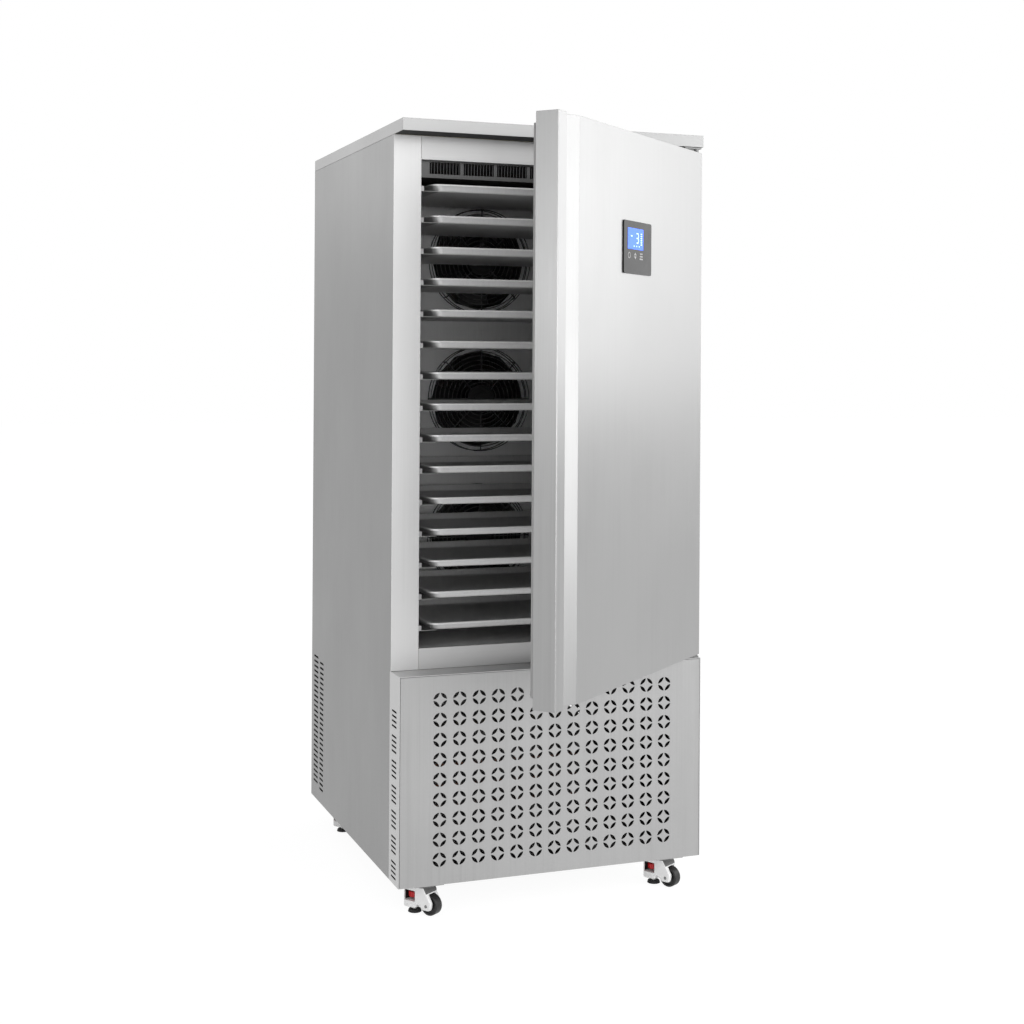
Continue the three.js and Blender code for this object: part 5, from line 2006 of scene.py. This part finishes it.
@dataclass(frozen=True)
class Castor:
    """Levelling castor: shell with a window, wheel, and a screw foot with a red dial."""

    name: str
    heading: float
    length: float = 96 * MM
    width: float = 44 * MM
    clearance: float = 15 * MM
    wheel_radius: float = 25 * MM
    wheel_width: float = 22 * MM
    wheel_offset: float = 20 * MM
    axle_height: float = 26 * MM
    axle_radius: float = 4 * MM
    foot_offset: float = -30 * MM
    foot_radius: float = 17 * MM
    foot_height: float = 7 * MM
    screw_radius: float = 5 * MM
    screw_top: float = 58 * MM
    dial_radius: float = 15 * MM
    dial_height: float = 12 * MM
    dial_rise: float = 38 * MM
    travel: float = 6 * MM
    play: float = 2 * MM
    post: float = 3 * MM
    throat_x: Point = (-13 * MM, -9 * MM)
    throat_top: float = 30 * MM
    boss: float = 11 * MM
    flare: Point = (3 * MM, 8 * MM)
    crest: float = 8 * MM
    chamfer: float = 12 * MM
    hood_angles: tuple[int, ...] = (88, 95, 102, 109)
    hood_start: float = 4 * MM
    hood_slope: Point = (10 * MM, 16 * MM)
    collar_radius: float = 25 * MM
    collar_height: float = 8 * MM
    tread_rim: float = 6 * MM
    tread_recess: float = 3 * MM
    hub_radius: float = 10 * MM
    waist: float = 0.86
    thread_pitch: float = 2 * MM
    teeth: int = 32
    tooth: float = 1 * MM

    def placed(self) -> Matrix:
        """Carries a form from the swivel axis at the origin to the castor's place.

        Returns:
            The matrix.
        """
        heading = math.radians(self.heading)
        turn = Matrix.Rotation(heading, 4, "Z")
        low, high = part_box(f"castor_wheel_{self.name}")
        wheel = (low + high) / 2
        axis = Vector((wheel.x, wheel.y, 0)) - turn @ Vector((self.wheel_offset, 0, 0))
        return Matrix.Translation(axis) @ turn

    def finish(
        self, piece: Workpiece, finish: Finish, body: str, node: str | None = None
    ) -> None:
        """Turns a piece to the castor's heading and lets it ride."""
        replaces = [f"{node}_{self.name}"] if node else []
        piece.smooth(40).moved(self.placed()).dress(finish, f"{body}_{self.name}", replaces)

    def shell(self) -> None:
        """Light housing: a rounded block round the foot and two legs to the axle."""
        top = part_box(f"castor_housing_{self.name}")[1].z
        left, right = -self.length / 2, self.length / 2
        half = self.width / 2
        boss, (flare_x, flare_z) = self.boss, self.flare
        side = filleted(
            [
                (left, self.clearance, 5 * MM),
                (self.throat_x[0], self.clearance, 5 * MM),
                (self.throat_x[1], self.throat_top, 6 * MM),
                (self.wheel_offset - boss, self.axle_height - boss, 8 * MM),
                (self.wheel_offset + boss, self.axle_height - boss, 8 * MM),
                (self.wheel_offset + boss + flare_x, self.axle_height + flare_z, 8 * MM),
                (self.crest, top, 3 * MM),
                (left + self.chamfer, top, 7 * MM),
                (left, top - self.chamfer, 7 * MM),
            ]
        )
        shell = Workpiece.traced(f"castor_shell_{self.name}", [(x, -half, z) for x, z in side])
        shell.raised((0, self.width, 0)).softened(3 * MM, 3, 50)
        tyre = self.wheel_radius + self.play
        slot = Workpiece.block(
            "wheel_slot",
            (self.wheel_offset - tyre, -self.wheel_width / 2 - self.play, 0),
            (right + 10 * MM, self.wheel_width / 2 + self.play, self.axle_height + tyre),
        )
        reach = self.dial_radius + self.play
        room = self.travel + self.play / 2
        low, high = self.dial_rise - room, self.dial_rise + self.dial_height + room
        across = Workpiece.block(
            "dial_window",
            (left + self.post, -self.width, low),
            (self.foot_offset + reach, self.width, high),
        )
        along = Workpiece.block(
            "dial_window",
            (left - 10 * MM, self.post - half, low),
            (self.foot_offset, half - self.post, high),
        )
        shell.without(slot)
        for window in (across, along):
            shell.without(window.softened(2.5 * MM, 3))
        pivot = Workpiece.rod(
            "castor_axle",
            (self.wheel_offset, 0, self.axle_height),
            self.axle_radius,
            self.width + 2 * MM,
            Axis.Y,
            20,
        )
        self.finish(shell, CASTOR_SHELL, "castor", "castor_housing")
        self.shade_plates(low, high)
        pivot.softened(0.8 * MM)
        pivot.obj.name = f"castor_axle_{self.name}"
        self.finish(pivot, HINGE_METAL, "castor")

    def shade_plates(self, low: float, high: float) -> None:
        """Near-black plates inside the shell, behind the dial's window: painted shade for the
        shade inside the housing.

        Args:
            low, high: Heights of the window.
        """
        left, half = -self.length / 2, self.width / 2
        inner, outer = self.post - 1.5 * MM, self.post - 2.5 * MM
        side = Workpiece.block(
            f"castor_lining_{self.name}",
            (left + self.post, half - inner, low),
            (self.foot_offset + self.dial_radius + self.play, half - outer, high),
        )
        end = Workpiece.block(
            "castor_lining_end",
            (left + outer, self.post - half, low),
            (left + inner, half - self.post, high),
        )
        side.absorb([end]).softened(0.2 * MM, 1)
        self.finish(side, CASTOR_SHADE_PLATES, "castor")

    def bracket(self) -> None:
        """Dark sloping guard over the wheel, with the swivel collar on top."""
        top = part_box(f"castor_housing_{self.name}")[1].z
        half = self.width / 2 - 1 * MM
        inner = self.wheel_radius + self.play / 2
        angles = [math.radians(angle) for angle in self.hood_angles]
        inside = [
            (
                self.wheel_offset + inner * math.cos(angle),
                self.axle_height + inner * math.sin(angle),
            )
            for angle in angles
        ]
        brow = inside[0][0]
        back, drop = self.hood_slope
        outside = [(self.hood_start, top), (brow - back, top), (brow, top - drop)]
        cap = Workpiece.traced(
            f"castor_bracket_{self.name}", [(x, -half, z) for x, z in inside + outside]
        )
        cap.raised((0, 2 * half, 0)).softened(1.5 * MM, 2, 50)
        collar_middle = (0, 0, top - self.collar_height / 2)
        collar = Workpiece.rod(
            "swivel_collar", collar_middle, self.collar_radius, self.collar_height
        )
        cap.absorb([collar.softened(1.5 * MM)])
        self.finish(cap, CASTOR_BRACKET, "castor")

    def wheel(self) -> None:
        """Wheel with a rounded tread, a stepped face and a hub."""
        centre = (self.wheel_offset, 0, self.axle_height)
        tyre = Workpiece.rod(
            f"castor_tyre_{self.name}", centre, self.wheel_radius, self.wheel_width, Axis.Y, 48
        )
        with tyre.worked():
            for side in (-1, 1):
                tyre.pick(Part.FACE, lambda face: face.normal.y * side > FACING)
                bpy.ops.mesh.inset(thickness=self.tread_rim)
                bpy.ops.mesh.extrude_region_move(
                    TRANSFORM_OT_translate={"value": (0, -side * self.tread_recess, 0)}
                )
                bpy.ops.mesh.inset(thickness=2 * MM)
        tyre.softened(2 * MM, 3, 50)
        self.finish(tyre, TYRE, "wheel", "castor_wheel")
        hub = Workpiece.rod(
            f"castor_hub_{self.name}",
            centre,
            self.hub_radius,
            self.wheel_width - 1 * MM,
            Axis.Y,
            32,
        )
        self.finish(hub.softened(1 * MM, 2), WHEEL_HUB, "wheel")

    def foot(self) -> None:
        """Rubber pad, screw and toothed dial on one upright axis."""
        x = self.foot_offset
        narrow = (self.waist, self.waist, 1)
        pad = Workpiece.rod(
            f"castor_pad_{self.name}",
            (x, 0, self.foot_height / 2),
            self.foot_radius,
            self.foot_height,
            segments=40,
        )
        with pad.worked():
            pad.pick(Part.FACE, lambda face: face.normal.z > FACING)
            bpy.ops.transform.resize(value=narrow, center_override=(x, 0, 0))
        self.finish(pad.softened(1.2 * MM, 3, 30), PAD_RUBBER, "foot", "castor_foot")
        length = self.screw_top - self.foot_height
        screw = Workpiece.rod(
            f"castor_screw_{self.name}",
            (x, 0, self.foot_height + length / 2),
            self.screw_radius,
            length,
            segments=24,
        )
        with screw.worked():
            for turn in range(1, int(length / self.thread_pitch)):
                height = self.foot_height + turn * self.thread_pitch
                bpy.ops.mesh.select_all(action="SELECT")
                bpy.ops.mesh.bisect(plane_co=(x, 0, height), plane_no=(0, 0, 1))
                if turn % 2:
                    bpy.ops.transform.resize(value=narrow, center_override=(x, 0, height))
        self.finish(screw, HINGE_METAL, "foot")
        self.dial(x)

    def dial(self, x: float) -> None:
        """Red dial with a toothed rim.

        Args:
            x: The foot's axis.
        """
        dial = Workpiece.rod(
            f"castor_dial_{self.name}",
            (x, 0, self.dial_rise + self.dial_height / 2),
            self.dial_radius - self.tooth,
            self.dial_height,
            segments=self.teeth,
        )

        def is_tooth(face: bmesh.types.BMFace) -> bool:
            """Whether a face is every other one round the rim."""
            middle = face.calc_center_median()
            turn = (math.atan2(middle.y, middle.x - x) + math.pi) / (2 * math.pi)
            return abs(face.normal.z) < 0.5 and int(turn * self.teeth) % 2 == 0

        with dial.worked():
            dial.pick(Part.FACE, is_tooth)
            bpy.ops.mesh.extrude_faces_move(
                TRANSFORM_OT_shrink_fatten={"value": self.tooth, "use_even_offset": False}
            )
        self.finish(dial, DIAL_PLASTIC, "foot")

    def build(self) -> None:
        """Makes the whole castor."""
        self.shell()
        self.bracket()
        self.wheel()
        self.foot()


# ------------------------------------------------------------------------ small details
@dataclass(frozen=True)
class Fittings:
    """Screws and the duct's air bars."""

    cabinet: Cabinet
    screw_radius: float = 4.2 * MM
    screw_height: float = 2 * MM
    rear_pitch: float = 220 * MM
    rear_inset: float = 14 * MM
    duct_bar: float = 2.4 * MM
    duct_pitch: float = 8 * MM
    duct_margin: float = 6 * MM
    duct_setback: float = 2.6 * MM
    duct_bar_depth: float = 6 * MM
    duct_ends: Point = (2.5 * MM, 0.5 * MM)
    end_pitch: float = 190 * MM
    cover_inset: float = 16 * MM

    def screw(self, place: Vector, out: Vector) -> Workpiece:
        """A pan-head screw with a cross recess, its head along out.

        Args:
            place: Under its head.
            out: Where its head points.

        Returns:
            The screw.
        """
        head = Workpiece.rod(
            "screw_head", (0, 0, self.screw_height / 2), self.screw_radius, self.screw_height,
            segments=20,
        )
        slot = self.screw_radius * 1.1
        arm = 0.5 * MM
        low_z, high_z = self.screw_height * 0.6, self.screw_height * 2
        first = Workpiece.block("recess", (-slot / 2, -arm, low_z), (slot / 2, arm, high_z))
        second = Workpiece.block("recess", (-arm, -slot / 2, low_z), (arm, slot / 2, high_z))
        head.softened(0.8 * MM, 2, 60).without(first).without(second)
        turn = Vector((0, 0, 1)).rotation_difference(out).to_matrix().to_4x4()
        return head.moved(Matrix.Translation(place) @ turn)

    def screws(self, name: str, places: Sequence[Vector], out: Vector, body: str) -> None:
        """A set of screws that face the same way, modelled once and copied.

        Args:
            name: The set's name.
            places: Under each head.
            out: Where the heads point.
            body: What they ride on.
        """
        first = self.screw(places[0], out)
        others = [first.twin("screw_head").shifted(place - places[0]) for place in places[1:]]
        first.absorb(others)
        first.obj.name = name
        first.smooth(40).dress(SCREW_METAL, body)

    def rear_screws(self) -> None:
        """Screws down both edges and along the ends of the rear sheet."""
        low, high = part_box("rear_panel")
        left, right = low.x + self.rear_inset, high.x - self.rear_inset
        bottom, top = low.z + self.rear_inset, high.z - self.rear_inset
        rows = int((top - bottom) / self.rear_pitch) + 1
        heights = [bottom + (top - bottom) * row / rows for row in range(rows + 1)]
        places = [Vector((x, high.y, z)) for x in (left, right) for z in heights]
        places += [
            Vector((self.cabinet.middle + across, high.y, z))
            for across in spaced(3, self.end_pitch)
            for z in (bottom, top)
        ]
        self.screws("rear_screws", places, Vector((0, 1, 0)), "cabinet")

    def cover_screws(self) -> None:
        """Screws of the fan panel, beside its corners."""
        low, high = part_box("evaporator_cover")
        inset = self.cover_inset
        heights = [low.z + inset, (low.z * 2 + high.z) / 3, (low.z + high.z * 2) / 3]
        heights.append(high.z - inset)
        places = [Vector((x, low.y, z)) for x in (low.x + inset, high.x - inset) for z in heights]
        self.screws("cover_screws", places, Vector((0, -1, 0)), "cabinet")

    def duct_bars(self) -> None:
        """Fine upright bars behind the windows of the ceiling duct."""
        low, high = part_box("ceiling_duct")
        x, y = low.x + self.duct_margin, low.y + self.duct_setback
        below, above = self.duct_ends
        first = Workpiece.block(
            "duct_bars",
            (x, y, low.z + below),
            (x + self.duct_bar, y + self.duct_bar_depth, high.z - above),
        )
        count = int((high.x - low.x - 2 * self.duct_margin) / self.duct_pitch)
        first.softened(0.4 * MM, 1).repeated(count, (self.duct_pitch, 0, 0))
        first.dress(MACHINE_PAINT, "cabinet")

    def build(self) -> None:
        """Makes all small details."""
        self.rear_screws()
        self.cover_screws()
        self.duct_bars()


# ------------------------------------------------------------------------------- studio
@dataclass(frozen=True)
class Lamp:
    """A soft rectangular lamp that looks at a point."""

    name: str
    place: tuple[float, float, float]
    target: tuple[float, float, float]
    size: Point
    power: float

    def build(self) -> None:
        """Hangs the lamp."""
        light = bpy.data.lights.new(self.name, "AREA")
        light.shape = "RECTANGLE"
        light.size, light.size_y = self.size
        light.energy = self.power
        holder = bpy.data.objects.new(self.name, light)
        bpy.context.scene.collection.objects.link(holder)
        aim = Vector(self.target) - Vector(self.place)
        holder.location = self.place
        holder.rotation_euler = aim.to_track_quat("-Z", "Y").to_euler()


@dataclass(frozen=True)
class Studio:
    """White floor, plain light and the camera at the picture's viewing angle."""

    camera_place: tuple[float, float, float] = (-1.4738, -3.8269, 1.3351)
    camera_yaw: float = -20.448
    camera_roll: float = 0.345
    lens: float = 55.82
    shift_y: float = -0.1457
    floor_size: float = 60.0
    world_level: float = 0.5
    floor_share: float = 0.8

    LAMPS = (
        Lamp("right", (4.0, -0.3, 2.6), (0.1, -0.5, 1.5), (2.6, 3.0), 52.0),
        Lamp("front_right", (3.0, -3.3, 2.1), (0.0, -0.6, 1.3), (1.8, 3.6), 60.0),
        Lamp("front", (0.3, -4.4, 2.1), (0.0, -0.2, 1.2), (2.0, 2.0), 38.0),
        Lamp("rear_left", (-2.3, 3.6, 2.6), (-0.4, -0.2, 1.7), (1.2, 1.2), 7.0),
        Lamp("fill", (-1.2, -4.3, 1.3), (0.0, 0.2, 1.25), (1.2, 1.2), 30.0),
        Lamp("left", (-3.6, -1.9, 1.75), (0.1, -0.7, 1.45), (0.8, 0.8), 9.0),
    )

    def camera(self) -> None:
        """Stands the camera level, with the small roll that the picture has."""
        lens = bpy.data.cameras.new("camera")
        lens.lens = self.lens
        lens.sensor_width = 36.0
        lens.shift_y = self.shift_y
        lens.clip_end = 200.0
        camera = bpy.data.objects.new("camera", lens)
        bpy.context.scene.collection.objects.link(camera)
        camera.matrix_world = (
            Matrix.Translation(self.camera_place)
            @ Matrix.Rotation(math.radians(self.camera_yaw), 4, "Z")
            @ Matrix.Rotation(QUARTER_TURN, 4, "X")
            @ Matrix.Rotation(math.radians(self.camera_roll), 4, "Z")
        )
        bpy.context.scene.camera = camera

    def world(self) -> None:
        """White surroundings to look at and to mirror, softer as a light."""
        world = bpy.data.worlds.new("surroundings")
        bpy.context.scene.world = world
        world.use_nodes = True
        nodes, links = world.node_tree.nodes, world.node_tree.links
        nodes.clear()
        output = nodes.new("ShaderNodeOutputWorld")
        blend = nodes.new("ShaderNodeMixShader")
        soft = nodes.new("ShaderNodeBackground")
        white = nodes.new("ShaderNodeBackground")
        soft.inputs["Strength"].default_value = self.world_level
        soft.inputs["Color"].default_value = grey(255)
        white.inputs["Color"].default_value = grey(255)
        links.new(self.seen(nodes, links), blend.inputs["Fac"])
        links.new(soft.outputs[0], blend.inputs[1])
        links.new(white.outputs[0], blend.inputs[2])
        links.new(blend.outputs[0], output.inputs["Surface"])

    def seen(self, nodes: bpy.types.Nodes, links: bpy.types.NodeLinks) -> Socket:
        """One for rays that look, mirror or pass through, and zero for rays that light.

        Args:
            nodes, links: Those of the tree it serves.

        Returns:
            The value.
        """
        path = nodes.new("ShaderNodeLightPath")
        total = None
        for ray in ("Is Camera Ray", "Is Glossy Ray", "Is Transmission Ray"):
            if total is None:
                total = path.outputs[ray]
                continue
            larger = nodes.new("ShaderNodeMath")
            larger.operation = "MAXIMUM"
            links.new(total, larger.inputs[0])
            links.new(path.outputs[ray], larger.inputs[1])
            total = larger.outputs[0]
        return total

    def floor(self) -> None:
        """Floor that looks white to the camera and keeps a light shadow under the object."""
        put_down_all()
        bpy.ops.mesh.primitive_plane_add(size=self.floor_size)
        floor = bpy.context.object
        floor.name = "floor"
        material = bpy.data.materials.new("studio_floor")
        material.use_nodes = True
        nodes, links = material.node_tree.nodes, material.node_tree.links
        shader = nodes["Principled BSDF"]
        paint = grey(246)
        shader.inputs["Base Color"].default_value = paint
        shader.inputs["Roughness"].default_value = 0.9
        shader.inputs["Specular IOR Level"].default_value = 0.1
        glow = nodes.new("ShaderNodeEmission")
        far_floor = paint[0] * self.world_level
        glow.inputs["Strength"].default_value = (
            1 - (1 - self.floor_share) * far_floor
        ) / self.floor_share
        blend = nodes.new("ShaderNodeMixShader")
        share = nodes.new("ShaderNodeMath")
        share.operation = "MULTIPLY"
        share.inputs[1].default_value = self.floor_share
        links.new(self.seen(nodes, links), share.inputs[0])
        links.new(share.outputs[0], blend.inputs["Fac"])
        links.new(shader.outputs[0], blend.inputs[1])
        links.new(glow.outputs[0], blend.inputs[2])
        links.new(blend.outputs[0], nodes["Material Output"].inputs["Surface"])
        floor.data.materials.append(material)

    def build(self) -> None:
        """Sets up the whole studio."""
        bpy.context.scene.view_settings.view_transform = "Standard"
        self.camera()
        self.world()
        self.floor()
        for lamp in self.LAMPS:
            lamp.build()


def main() -> None:
    """Builds the studio and then the object, from the cabinet inwards."""
    logging.basicConfig(level=logging.INFO, format="%(name)s: %(message)s")
    Studio().build()
    cabinet = Cabinet.measured()
    Sheetwork(cabinet).build()
    Grille(cabinet).build()
    door = Door(cabinet)
    door.build()
    ControlPanel(door).build()
    Trays().build()
    guard = FanGuard()
    rotor = Rotor()
    for index in (1, 2, 3):
        guard.build(index)
        rotor.build(f"fan_blades_{index}", f"fan_rotor_{index}", f"evaporator_fan_{index}")
    rotor.build("condenser_fan_blades", "condenser_fan", "condenser_fan_rotor")
    Evaporator(Exchanger()).build()
    Condenser(Exchanger(), guard).build()
    Compressor().build()
    for name, heading in CASTOR_HEADINGS.items():
        Castor(name, heading).build()
    Fittings(cabinet).build()


if __name__ == "__main__":
    main()
